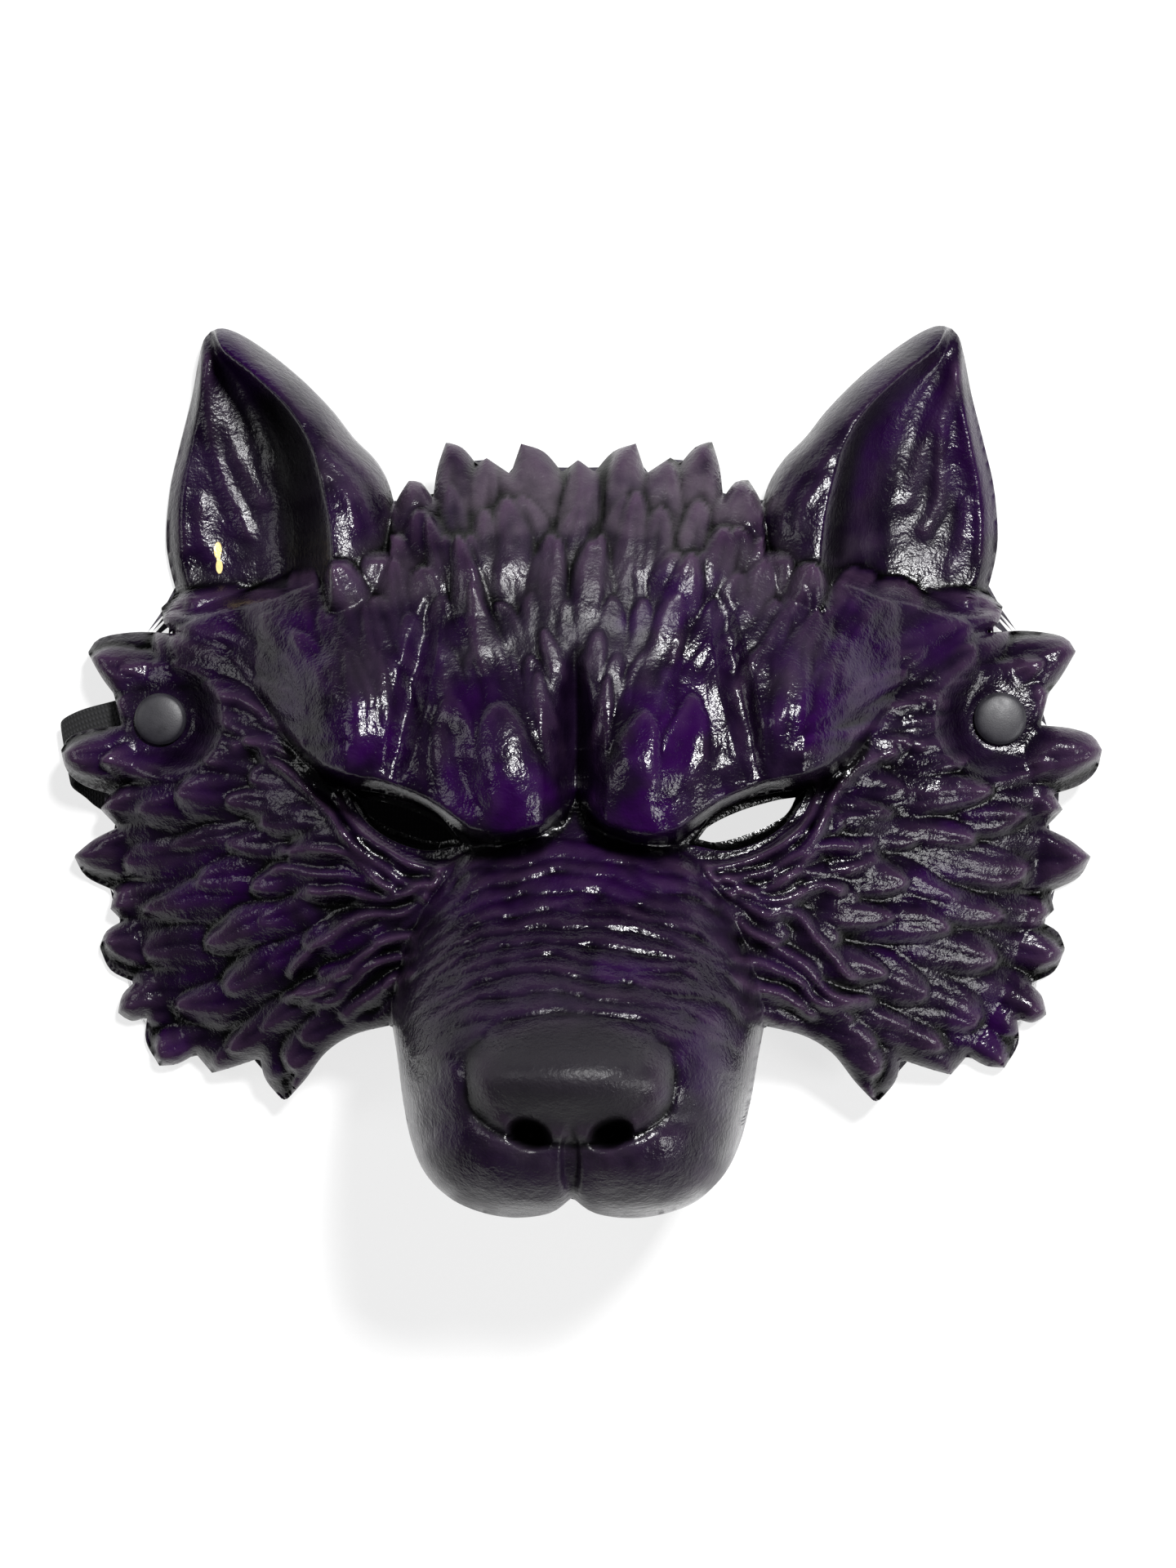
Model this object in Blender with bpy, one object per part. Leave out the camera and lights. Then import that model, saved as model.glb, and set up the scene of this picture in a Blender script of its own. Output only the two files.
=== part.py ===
"""Foam wolf half mask with its two snaps and its elastic strap, lying face up on its back rim.

Frame: +X to the right as the face is seen, +Y towards the ears, +Z up, out of the face. Metres.

The mask is one moulding, so it is one solid. Its front is a height above the rim plane for every place on
the face, worked out from short tables: sections for the face, the ears and the muzzle, and a row for each
brow part, dent and tuft. The tables hold shares of three named sizes: HALF_FACE across, FACE_RISE up and
DEPTH out of the rim plane. The back is the same form without tufts, moved in by the wall.
"""

import math

import bpy
import numpy as np
from mathutils.geometry import delaunay_2d_cdt

# The three sizes that the shares in the tables are of.
HALF_FACE = 0.100
FACE_RISE = 0.100
DEPTH = 0.100

FOAM_WALL = 0.0045
THIN_WALL = 0.0028
EDGE_ROUND = 0.0045
# A face of the moulding leans in as if it were drawn from a point this high above the rim plane.
DRAFT_HEIGHT = 0.600
DRAFT_UP = -0.028

CAP_RADIUS = 0.0062
CAP_HEIGHT = 0.0030
CAP_EDGE = 0.0008
POST_RADIUS = 0.0020
SOCKET_RADIUS = 0.0055
SOCKET_HEIGHT = 0.0026
SOCKET_FLOOR = 0.0008
STRAP_WIDTH = 0.015
STRAP_THICKNESS = 0.0012
GAP = 0.0003
PAD_RADIUS = 0.0085
SHARES = np.array([HALF_FACE, FACE_RISE])

OUTLINE_STEP = 0.0040
FRONT_STEP = 0.0041
BACK_STEP = 0.0080
# How near to an outline the other points of the front and of the back may come.
FRONT_CLEAR = 0.0013
BACK_CLEAR = 0.0020
# The grid that the back is worked out on, as shares.
GRID_STEP = 0.01
ROUND_SIDES = 16

# Where the snaps sit, as shares across and up.
SNAP_ACROSS = 1.02
SNAP_UP = 0.13
# How high the wall's back is at the snaps, as a share of DEPTH. The snap presses the foam in a little.
SNAP_DEPTH = 0.095

# The right half of the outline from the middle of the brow to the middle of the lip. A corner is a tuft's tip
# or the notch between two tufts, and the points between corners lie on one smooth curve.
# across, up, corner
OUTLINE = (
    (0.000, 0.765, True),
    (0.040, 0.735, True),
    (0.085, 0.785, False),
    (0.140, 0.805, True),
    (0.165, 0.730, True),
    (0.225, 0.770, True),
    (0.250, 0.755, True),
    (0.285, 0.795, False),
    (0.325, 0.810, True),
    (0.345, 0.745, False),
    (0.355, 0.670, True),
    (0.385, 0.710, False),
    (0.415, 0.715, True),
    (0.435, 0.685, False),
    (0.450, 0.655, True),
    (0.470, 0.715, False),
    (0.505, 0.770, False),
    (0.555, 0.820, False),
    (0.610, 0.890, False),
    (0.695, 0.975, False),
    (0.785, 1.045, False),
    (0.850, 1.083, False),
    (0.890, 1.090, False),
    (0.922, 1.068, False),
    (0.938, 1.010, False),
    (0.955, 0.920, False),
    (0.985, 0.800, False),
    (1.008, 0.700, False),
    (1.018, 0.590, False),
    (1.012, 0.520, False),
    (0.992, 0.440, True),
    (1.030, 0.405, True),
    (1.020, 0.365, False),
    (0.985, 0.340, True),
    (1.090, 0.345, False),
    (1.180, 0.330, False),
    (1.210, 0.295, True),
    (1.175, 0.235, False),
    (1.145, 0.195, True),
    (1.125, 0.115, True),
    (1.195, 0.108, False),
    (1.250, 0.090, False),
    (1.275, 0.055, True),
    (1.260, 0.005, False),
    (1.220, -0.030, False),
    (1.155, -0.052, True),
    (1.178, -0.090, True),
    (1.135, -0.135, True),
    (1.195, -0.165, False),
    (1.245, -0.205, True),
    (1.215, -0.255, False),
    (1.145, -0.290, True),
    (1.155, -0.335, True),
    (1.125, -0.365, True),
    (1.165, -0.390, False),
    (1.182, -0.430, True),
    (1.155, -0.485, False),
    (1.095, -0.515, True),
    (1.125, -0.545, False),
    (1.137, -0.590, True),
    (1.105, -0.610, False),
    (1.065, -0.600, True),
    (1.068, -0.660, False),
    (1.035, -0.720, True),
    (0.990, -0.715, False),
    (0.945, -0.690, True),
    (0.905, -0.737, True),
    (0.860, -0.725, False),
    (0.785, -0.700, True),
    (0.770, -0.755, False),
    (0.725, -0.808, True),
    (0.675, -0.755, False),
    (0.620, -0.685, False),
    (0.550, -0.642, False),
    (0.455, -0.618, True),
    (0.440, -0.700, False),
    (0.425, -0.800, False),
    (0.403, -0.900, False),
    (0.367, -0.980, False),
    (0.308, -1.040, False),
    (0.235, -1.075, False),
    (0.145, -1.090, False),
    (0.055, -1.078, False),
    (0.000, -1.040, True),
)

# One eye hole, right side.
# across, up, corner
EYE_HOLE = (
    (0.275, -0.176, True),
    (0.330, -0.110, False),
    (0.400, -0.070, False),
    (0.480, -0.050, False),
    (0.565, -0.038, True),
    (0.530, -0.105, False),
    (0.465, -0.160, False),
    (0.370, -0.192, False),
)

# Sections of the face from the chin up: the height at the middle and at the edge, the half width, and how blunt
# the section is.
# up, middle, edge, half_width, bluntness
FACE_SECTIONS = (
    (-0.85, 0.20, 0.00, 0.90, 2.0),
    (-0.70, 0.29, 0.00, 0.95, 2.0),
    (-0.55, 0.38, 0.00, 1.03, 2.0),
    (-0.40, 0.43, 0.00, 1.08, 2.1),
    (-0.20, 0.46, 0.005, 1.12, 2.1),
    (0.00, 0.48, 0.02, 1.10, 2.1),
    (0.15, 0.49, 0.03, 1.07, 2.1),
    (0.35, 0.47, 0.04, 1.04, 2.1),
    (0.50, 0.41, 0.06, 0.96, 2.0),
    (0.66, 0.31, 0.10, 0.85, 2.0),
    (0.78, 0.21, 0.08, 0.80, 2.0),
    (0.90, 0.14, 0.06, 0.80, 2.0),
)

# The upper end of the face under the ears.
# across, up
FACE_TOP = (
    (0.00, 0.90),
    (0.42, 0.84),
    (0.47, 0.72),
    (0.54, 0.54),
    (0.62, 0.47),
    (0.75, 0.42),
    (0.95, 0.37),
    (1.30, 0.37),
)
FACE_TOP_DROP = 0.45
FACE_TOP_FADE = 0.12

# Sections across one ear. The rim is the fold that stands up beside the cup.
# up, outer, rim, inner, outer_height, cup_height, rim_height, inner_height
EAR_SECTIONS = (
    (0.30, 0.99, 0.64, 0.42, 0.00, 0.06, 0.30, 0.28),
    (0.43, 0.99, 0.600, 0.430, 0.00, 0.05, 0.37, 0.31),
    (0.50, 1.01, 0.597, 0.437, 0.00, 0.04, 0.37, 0.29),
    (0.58, 1.018, 0.600, 0.442, 0.00, 0.035, 0.36, 0.26),
    (0.66, 1.012, 0.612, 0.445, 0.00, 0.035, 0.35, 0.24),
    (0.72, 1.004, 0.627, 0.470, 0.00, 0.04, 0.335, 0.22),
    (0.80, 0.985, 0.650, 0.535, 0.00, 0.045, 0.31, 0.20),
    (0.90, 0.960, 0.715, 0.620, 0.005, 0.05, 0.27, 0.17),
    (0.98, 0.945, 0.800, 0.700, 0.015, 0.06, 0.22, 0.14),
    (1.04, 0.935, 0.875, 0.780, 0.03, 0.07, 0.17, 0.11),
    (1.10, 0.920, 0.900, 0.860, 0.04, 0.06, 0.12, 0.09),
)
CUP_WALL = 0.16
CUP_LIP = 0.90
EAR_START = 0.36
EAR_SIDE_SLOPE = 4.0
# Where the mesh has lines beside the rim, as shares of the ear's back and of its cup.
RIM_BACK = (0.55, 0.85)
RIM_FRONT = (0.0, 0.05, 0.10, 0.16, 0.24)

# Sections across the muzzle: half width, height of the bridge, and height of the lower rim.
# up, half_width, bridge, rim
MUZZLE_SECTIONS = (
    (-1.12, 0.120, 0.69, 0.69),
    (-1.085, 0.180, 0.73, 0.68),
    (-1.06, 0.270, 0.79, 0.66),
    (-1.03, 0.320, 0.83, 0.63),
    (-0.98, 0.367, 0.87, 0.58),
    (-0.92, 0.396, 0.90, 0.52),
    (-0.86, 0.413, 0.92, 0.46),
    (-0.80, 0.425, 0.95, 0.40),
    (-0.72, 0.437, 0.95, 0.33),
    (-0.66, 0.446, 0.91, 0.29),
    (-0.60, 0.452, 0.85, 0.27),
    (-0.50, 0.435, 0.75, 0.26),
    (-0.40, 0.410, 0.66, 0.25),
    (-0.30, 0.370, 0.57, 0.25),
    (-0.20, 0.315, 0.50, 0.25),
    (-0.14, 0.265, 0.47, 0.25),
    (-0.06, 0.160, 0.43, 0.25),
)
MUZZLE_BLUNTNESS = 2.7
MUZZLE_START = -0.06
MUZZLE_SIDE_SLOPE = 2.0
# Below this line the cheeks have ended, and what shows beside the muzzle is its own rim.
CHEEK_END = -0.62

# The lower edge of one brow, and how far the brow stands proud above it.
# across, up, proud
BROW = (
    (0.00, -0.050, 0.02),
    (0.04, -0.105, 0.07),
    (0.08, -0.140, 0.12),
    (0.14, -0.160, 0.14),
    (0.20, -0.165, 0.15),
    (0.26, -0.148, 0.14),
    (0.31, -0.112, 0.13),
    (0.36, -0.078, 0.12),
    (0.46, -0.036, 0.13),
    (0.56, -0.018, 0.15),
    (0.63, 0.008, 0.14),
    (0.68, 0.055, 0.11),
    (0.71, 0.120, 0.06),
    (0.75, 0.200, 0.00),
    (1.40, 0.200, 0.00),
)
BROW_FRONT = 0.036
BROW_FADE = 0.52

# Dents and swellings, each an oval that fades out smoothly.
# across, up, half_across, half_up, turn_degrees, height
OVALS = (
    (0.430, -0.125, 0.240, 0.080, 24, -0.110),
    (0.000, -0.170, 0.180, 0.045, 0, -0.080),
    (0.000, 0.060, 0.045, 0.260, 0, -0.070),
    (0.400, 0.200, 0.045, 0.260, 12, -0.045),
    (0.570, 0.150, 0.150, 0.220, -8, 0.035),
    (0.170, 0.050, 0.120, 0.260, -22, 0.040),
    (0.260, 0.520, 0.160, 0.140, -20, 0.030),
    (0.640, -0.130, 0.200, 0.070, 20, 0.030),
    (1.150, 0.060, 0.420, 0.310, 0, 0.105),
)
# The back of the wall doesn't follow dents deeper than this.
SOCKET_DENT = -0.1
NOSE_OVALS = (
    (0.000, -0.740, 0.260, 0.130, 0, 0.045),
    (0.000, -0.970, 0.030, 0.120, 0, -0.040),
    (0.200, -0.960, 0.200, 0.130, 0, 0.030),
)
NOSTRIL = (0.100, -0.885, 0.062, 0.040, 18, -0.130)

# Tufts of the right half: root, tip, width, and height over the skin at the tip.
# root_across, root_up, tip_across, tip_up, width, height
TUFTS = (
    (0.000, 0.600, 0.000, 0.790, 0.120, 0.040),
    (0.080, 0.580, 0.142, 0.825, 0.130, 0.045),
    (0.230, 0.590, 0.330, 0.830, 0.150, 0.045),
    (0.350, 0.540, 0.420, 0.730, 0.100, 0.040),
    (0.050, 0.400, 0.055, 0.585, 0.095, 0.040),
    (0.150, 0.500, 0.150, 0.680, 0.110, 0.040),
    (0.220, 0.320, 0.260, 0.540, 0.150, 0.045),
    (0.360, 0.400, 0.400, 0.600, 0.130, 0.035),
    (0.500, 0.330, 0.540, 0.500, 0.130, 0.035),
    (0.600, 0.230, 0.660, 0.420, 0.130, 0.040),
    (0.700, 0.200, 0.790, 0.400, 0.120, 0.040),
    (0.780, 0.330, 1.040, 0.412, 0.110, 0.045),
    (0.840, 0.260, 1.225, 0.300, 0.140, 0.045),
    (0.800, 0.050, 1.290, 0.050, 0.150, 0.045),
    (0.900, -0.040, 1.190, -0.090, 0.100, 0.035),
    (0.860, -0.120, 1.260, -0.208, 0.130, 0.045),
    (0.880, -0.250, 1.170, -0.340, 0.100, 0.040),
    (0.840, -0.310, 1.195, -0.435, 0.130, 0.045),
    (0.810, -0.420, 1.150, -0.600, 0.130, 0.045),
    (0.770, -0.480, 1.050, -0.735, 0.130, 0.045),
    (0.690, -0.490, 0.910, -0.750, 0.120, 0.045),
    (0.560, -0.470, 0.730, -0.825, 0.150, 0.045),
    (0.740, 0.110, 0.930, 0.170, 0.110, 0.045),
    (0.680, -0.020, 0.980, -0.010, 0.120, 0.050),
    (0.660, -0.100, 1.000, -0.130, 0.110, 0.050),
    (0.640, -0.190, 0.990, -0.240, 0.120, 0.050),
    (0.620, -0.270, 0.960, -0.360, 0.120, 0.050),
    (0.590, -0.330, 0.900, -0.470, 0.120, 0.050),
    (0.550, -0.380, 0.810, -0.580, 0.120, 0.050),
    (0.500, -0.400, 0.660, -0.620, 0.120, 0.045),
    (0.560, -0.200, 0.780, -0.170, 0.090, 0.045),
    (0.530, -0.270, 0.760, -0.300, 0.100, 0.045),
    (0.500, -0.320, 0.700, -0.420, 0.100, 0.045),
)

# The strap's middle line from the left snap round under the mask to the right one. Heights are in thicknesses
# of the strap over the rim plane, and the first and last rows are under the snaps. The turn is the direction
# in which its width lies, in degrees from straight up the face.
# across, up, height, turn
STRAP_ROUTE = (
    (-1.020, 0.130, None, 16),
    (-1.060, 0.120, None, 16),
    (-1.130, 0.102, None, 16),
    (-1.215, 0.078, 6.2, 15),
    (-1.262, 0.048, 3.8, 10),
    (-1.225, 0.015, 1.3, 4),
    (-1.140, -0.030, 0.5, -4),
    (-0.900, -0.085, 0.5, -8),
    (-0.450, -0.112, 0.5, -2),
    (-0.050, -0.090, 0.5, 6),
    (0.300, 0.000, 0.5, 16),
    (0.620, 0.085, 0.5, 12),
    (0.780, 0.115, 1.4, 6),
    (0.880, 0.128, 5.2, 2),
    (0.935, 0.130, None, 1),
    (0.965, 0.130, None, 1),
    (1.020, 0.130, None, 0),
)
STRAP_SAMPLES = 84
SPAN_STEPS = 24


def clear_scene():
    for old in list(bpy.data.objects):
        bpy.data.objects.remove(old, do_unlink=True)


def material(name, colour, roughness, coat=0.0):
    """A Principled material with one colour and roughness."""
    made = bpy.data.materials.new(name)
    made.use_nodes = True
    shader = made.node_tree.nodes["Principled BSDF"]
    shader.inputs["Base Color"].default_value = (*colour, 1.0)
    shader.inputs["Roughness"].default_value = roughness
    shader.inputs["Coat Weight"].default_value = coat
    return made


def smooth_step(value):
    value = np.clip(value, 0.0, 1.0)
    return value * value * (3.0 - 2.0 * value)


def column(table, number):
    return np.array([row[number] for row in table], float)


def along(table, place, number):
    """Column number of a table at a place, which is looked up in its first column, eased between rows."""
    keys = column(table, 0)
    values = column(table, number)
    slopes = np.gradient(values, keys)
    row = np.clip(np.searchsorted(keys, place) - 1, 0, len(keys) - 2)
    run = keys[row + 1] - keys[row]
    share = np.clip((place - keys[row]) / run, 0.0, 1.0)
    ends = (1 + 2 * share) * (1 - share) ** 2 * values[row] + share**2 * (3 - 2 * share) * values[row + 1]
    return ends + share * (1 - share) * run * ((1 - share) * slopes[row] - share * slopes[row + 1])


def oval(across, up, row):
    """A smooth swelling of height 1 inside an oval, and 0 outside it."""
    middle_across, middle_up, half_across, half_up, turn, height = row
    turn = math.radians(turn)
    right = across - middle_across
    over = up - middle_up
    first = (right * math.cos(turn) + over * math.sin(turn)) / half_across
    second = (over * math.cos(turn) - right * math.sin(turn)) / half_up
    return height * np.clip(1.0 - first**2 - second**2, 0.0, 1.0) ** 1.5


def face_height(across, up):
    """The face without ears, muzzle and tufts: a blunt arch across each section."""
    middle = along(FACE_SECTIONS, up, 1)
    edge = along(FACE_SECTIONS, up, 2)
    half = along(FACE_SECTIONS, up, 3)
    bluntness = along(FACE_SECTIONS, up, 4)
    share = np.clip(across / half, 0.0, 1.0)
    height = edge + (middle - edge) * (1.0 - share**bluntness)
    top = np.interp(across, column(FACE_TOP, 0), column(FACE_TOP, 1))
    return height - FACE_TOP_DROP * smooth_step((up - top) / FACE_TOP_FADE)


def ear_height(across, up):
    """One ear: its back rises to the rim, which drops into a cup with a soft outer lip."""
    outer, rim, inner, outer_height, cup_height, rim_height, inner_height = [
        along(EAR_SECTIONS, up, number) for number in range(1, 8)
    ]
    back = np.clip((across - inner) / (rim - inner), 0.0, 1.0)
    cup = np.clip((across - rim) / (outer - rim), 0.0, 1.0)
    rising = inner_height + (rim_height - inner_height) * (1.0 - (1.0 - back) ** 2)
    wall = np.exp(-((cup / CUP_WALL) ** 1.6))
    bowl = cup_height * (1.0 - 0.35 * np.sin(np.pi * cup))
    falling = bowl + (rim_height - cup_height) * wall
    falling = falling + (outer_height - cup_height) * smooth_step((cup - CUP_LIP) / (1.0 - CUP_LIP))
    height = np.where(across < rim, rising, falling)
    beyond = np.clip(inner - across, 0.0, None) + np.clip(EAR_START - up, 0.0, None)
    return height - EAR_SIDE_SLOPE * beyond


def muzzle_height(across, up):
    """The muzzle: each section is a superellipse over its rim."""
    half = along(MUZZLE_SECTIONS, up, 1)
    bridge = along(MUZZLE_SECTIONS, up, 2)
    rim = along(MUZZLE_SECTIONS, up, 3)
    share = np.clip(across / half, 0.0, 1.0)
    arch = (1.0 - share**MUZZLE_BLUNTNESS) ** (1.0 / MUZZLE_BLUNTNESS)
    height = rim + (bridge - rim) * arch
    height = np.where(across > half, rim - MUZZLE_SIDE_SLOPE * (across - half), height)
    return np.where(up > MUZZLE_START, 0.0, height)


def brow_height(across, up):
    """The brow over the face: steep at its lower edge, rounded, and fading out up the forehead."""
    edge = np.interp(across, column(BROW, 0), column(BROW, 1))
    proud = np.interp(across, column(BROW, 0), column(BROW, 2))
    over = up - edge
    rise = smooth_step(over / BROW_FRONT + 0.5)
    fade = 1.0 - smooth_step((over - BROW_FRONT) / BROW_FADE)
    return proud * rise * fade


def form_height(across, up, raised=True):
    """The mask's form in shares of DEPTH, without its tufts. Without raised it leaves out brow and nose too."""
    across = np.abs(across)
    face = face_height(across, up)
    face = face + sum(oval(across, up, row) for row in OVALS if raised or row[5] > SOCKET_DENT)
    muzzle = muzzle_height(across, up) + oval(across, up, NOSTRIL)
    if raised:
        face = face + brow_height(across, up)
        muzzle = muzzle + sum(oval(across, up, row) for row in NOSE_OVALS)
    height = np.maximum(np.maximum(face, muzzle), ear_height(across, up))
    beside = (up < CHEEK_END) & (across < along(MUZZLE_SECTIONS, up, 1) + 0.03)
    height = np.where(beside, np.maximum(muzzle, along(MUZZLE_SECTIONS, up, 3)), height)
    return np.maximum(height, 0.0)


def tuft_height(across, up):
    """The highest tuft at each place: a leaf with a round back that rises to its tip and drops off there."""
    across = np.abs(across)
    best = np.zeros_like(across)
    for root_across, root_up, tip_across, tip_up, width, height in TUFTS:
        run_across = tip_across - root_across
        run_up = tip_up - root_up
        length = math.hypot(run_across, run_up)
        forward = ((across - root_across) * run_across + (up - root_up) * run_up) / length**2
        side = ((up - root_up) * run_across - (across - root_across) * run_up) / length
        share = np.clip(forward, 0.0, 1.0)
        half = 0.5 * width * (1.0 - share) ** 0.55 * (0.75 + 0.9 * share) + 1e-6
        back = np.sqrt(np.clip(1.0 - (side / half) ** 2, 0.0, 1.0))
        on_tuft = (forward > 0.0) & (forward < 1.0)
        best = np.maximum(best, np.where(on_tuft, height * back * smooth_step(share * 1.6), 0.0))
    return best


def draft(across, up, height, lean=None):
    """Points in metres for places on the face and heights over the rim plane, drawn in as the mould's draft.
    What stands upright leans in as its top does, at the height lean."""
    near = 1.0 - (height if lean is None else lean) / DRAFT_HEIGHT
    middle = DRAFT_UP * FACE_RISE
    raised = middle + (up * FACE_RISE - middle) * near
    return np.stack([across * HALF_FACE * near, raised, height], axis=-1)


def curve_through(points, step):
    """A smooth curve through points, with a point about every step."""
    points = np.array(points, float)
    padded = np.concatenate([[2 * points[0] - points[1]], points, [2 * points[-1] - points[-2]]])
    parts = []
    for number in range(len(points) - 1):
        before, start, end, after = padded[number : number + 4]
        count = max(1, round(float(np.linalg.norm((end - start) * (HALF_FACE, FACE_RISE))) / step))
        share = (np.arange(count) / count)[:, None]
        bend = 2 * before - 5 * start + 4 * end - after
        twist = 3 * start - before - 3 * end + after
        parts.append(0.5 * (2 * start + (end - before) * share + bend * share**2 + twist * share**3))
    return np.concatenate(parts)


def outline_points(table, step):
    """The points of a table's outline, from its first row to just before its last, with its corners kept."""
    corners = [number for number, row in enumerate(table) if row[2]]
    parts = []
    for first, last in zip(corners, corners[1:]):
        parts.append(curve_through([row[:2] for row in table[first : last + 1]], step))
    return np.concatenate(parts)


def mask_outline(step):
    """The whole outline, clockwise from the middle of the brow."""
    right = np.concatenate([outline_points(OUTLINE, step), [OUTLINE[-1][:2]]])
    left = right[1:-1][::-1] * (-1.0, 1.0)
    return np.concatenate([right, left])


def eye_outline(side, step):
    points = outline_points((*EYE_HOLE, EYE_HOLE[0]), step)
    return points * (side, 1.0)


def ring(across, up, radius, sides=ROUND_SIDES):
    """A circle of a real radius, as shares."""
    angle = 2 * np.pi * np.arange(sides) / sides
    return np.stack([across + radius * np.cos(angle) / HALF_FACE, up + radius * np.sin(angle) / FACE_RISE], 1)


def inside(points, loop):
    """Whether each point is inside a closed loop, by counting the loop's crossings of a line to the right."""
    result = np.zeros(len(points), bool)
    for (x1, y1), (x2, y2) in zip(loop, np.roll(loop, -1, axis=0)):
        if y1 == y2:
            continue
        crosses = (points[:, 1] < y1) != (points[:, 1] < y2)
        result ^= crosses & (points[:, 0] < x1 + (points[:, 1] - y1) * (x2 - x1) / (y2 - y1))
    return result


def distance_to(points, loops):
    """How far each point is from the nearest of some closed loops."""
    best = np.full(len(points), np.inf)
    for loop in loops:
        for start, end in zip(loop, np.roll(loop, -1, axis=0)):
            run = end - start
            offset = points - start
            share = np.clip(offset @ run / max(run @ run, 1e-12), 0.0, 1.0)
            best = np.minimum(best, np.linalg.norm(offset - share[:, None] * run, axis=1))
    return best


def pad_distance(places):
    """How far each place is from the nearer snap, in metres."""
    return np.hypot((np.abs(places[:, 0]) - SNAP_ACROSS) * HALF_FACE, (places[:, 1] - SNAP_UP) * FACE_RISE)


class Skin:
    """Front and back of the mask over the rim plane, in metres, at places given as shares."""

    def __init__(self, outline, eyes):
        self.rims = [loop * SHARES for loop in (outline, *eyes)]
        self.grid_across = GRID_STEP * np.arange(-140, 141)
        self.grid_up = GRID_STEP * np.arange(-120, 121)
        across, up = np.meshgrid(self.grid_across, self.grid_up)
        plain = form_height(across, up, raised=False) * DEPTH + FOAM_WALL
        self.inner = self.moved_in(plain)
        self.pad_back = SNAP_DEPTH * DEPTH
        self.pad = self.pad_back + FOAM_WALL

    def moved_in(self, plain):
        """The plain form moved in by the wall: the lowest ball of the wall's radius that hangs under it."""
        reach_across = int(FOAM_WALL / (GRID_STEP * HALF_FACE))
        reach_up = int(FOAM_WALL / (GRID_STEP * FACE_RISE))
        lowest = plain - FOAM_WALL
        for shift_up in range(-reach_up, reach_up + 1):
            for shift_across in range(-reach_across, reach_across + 1):
                away = GRID_STEP * math.hypot(shift_across * HALF_FACE, shift_up * FACE_RISE)
                if away < FOAM_WALL:
                    moved = np.roll(plain, (shift_up, shift_across), axis=(0, 1))
                    lowest = np.minimum(lowest, moved - math.sqrt(FOAM_WALL**2 - away**2))
        return np.maximum(lowest, 0.0)

    def plain_back(self, places):
        """The inner form at places, read from its grid with straight lines between the grid's points."""
        column_at = (places[:, 0] - self.grid_across[0]) / GRID_STEP
        row_at = (places[:, 1] - self.grid_up[0]) / GRID_STEP
        left = np.clip(column_at.astype(int), 0, len(self.grid_across) - 2)
        low = np.clip(row_at.astype(int), 0, len(self.grid_up) - 2)
        right_share = column_at - left
        up_share = row_at - low
        lower = self.inner[low, left] * (1 - right_share) + self.inner[low, left + 1] * right_share
        upper = self.inner[low + 1, left] * (1 - right_share) + self.inner[low + 1, left + 1] * right_share
        return lower * (1 - up_share) + upper * up_share

    def front_at(self, places):
        height = form_height(places[:, 0], places[:, 1]) + tuft_height(places[:, 0], places[:, 1])
        height = height * DEPTH + FOAM_WALL
        near = np.clip(1.0 - distance_to(places * SHARES, self.rims) / EDGE_ROUND, 0.0, 1.0)
        height = height - 0.45 * FOAM_WALL * near**2
        return np.maximum(height, self.plain_back(places) + THIN_WALL)

    def pad_share(self, places):
        """1 on the flat pad round each snap, 0 away from it."""
        return 1.0 - smooth_step((pad_distance(places) - PAD_RADIUS) / (0.5 * PAD_RADIUS) - 0.02)

    def front(self, places):
        share = self.pad_share(places)
        return self.front_at(places) * (1 - share) + self.pad * share

    def back(self, places):
        """The height of the back, and the height that its draft is taken at: the front's round each snap."""
        share = self.pad_share(places)
        height = self.plain_back(places) * (1 - share) + self.pad_back * share
        return height, height + (self.pad - self.pad_back) * share


def hex_grid(step):
    """Points of a triangular grid over the whole mask, the same on both sides of its middle."""
    rows = np.arange(-1.12, 1.12, step * math.sqrt(0.75) / FACE_RISE)
    parts = []
    for number, up in enumerate(rows):
        start = 0.0 if number % 2 else 0.5 * step / HALF_FACE
        across = np.arange(start, 1.32, step / HALF_FACE)
        across = np.unique(np.concatenate([across, -across]))
        parts.append(np.stack([across, np.full_like(across, up)], axis=1))
    return np.concatenate(parts)


def muzzle_grid(step, inset):
    """Points over the muzzle, closer together in plan where its sides are steep."""
    rows = np.arange(-1.06, -0.10, 1.1 * step / FACE_RISE)
    angle = np.radians(np.linspace(-90, 90, round(0.084 / step) | 1))
    power = 2.0 / MUZZLE_BLUNTNESS
    across = np.sign(angle) * np.abs(np.sin(angle)) ** power
    half = along(MUZZLE_SECTIONS, rows, 1) - inset / HALF_FACE
    return np.stack([np.outer(half, across).ravel(), np.repeat(rows, len(across))], axis=1)


def ear_lines(step):
    """Points along one ear's rim, on both of its steep sides."""
    rows = np.arange(0.44, 1.03, step / FACE_RISE)
    outer, rim, inner = [along(EAR_SECTIONS, rows, number) for number in (1, 2, 3)]
    parts = [inner + (rim - inner) * share for share in RIM_BACK]
    parts += [rim + (outer - rim) * share for share in RIM_FRONT]
    return np.stack([np.concatenate(parts), np.tile(rows, len(parts))], axis=1)


def beside_rim(places):
    """Whether each place is in the strip that ear_lines covers."""
    across = np.abs(places[:, 0])
    outer, rim, inner = [along(EAR_SECTIONS, places[:, 1], number) for number in (1, 2, 3)]
    low = inner + (rim - inner) * (RIM_BACK[0] - 0.2)
    high = rim + (outer - rim) * (RIM_FRONT[-1] + 0.06)
    return (places[:, 1] > 0.43) & (places[:, 1] < 1.04) & (across > low) & (across < high)


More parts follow.
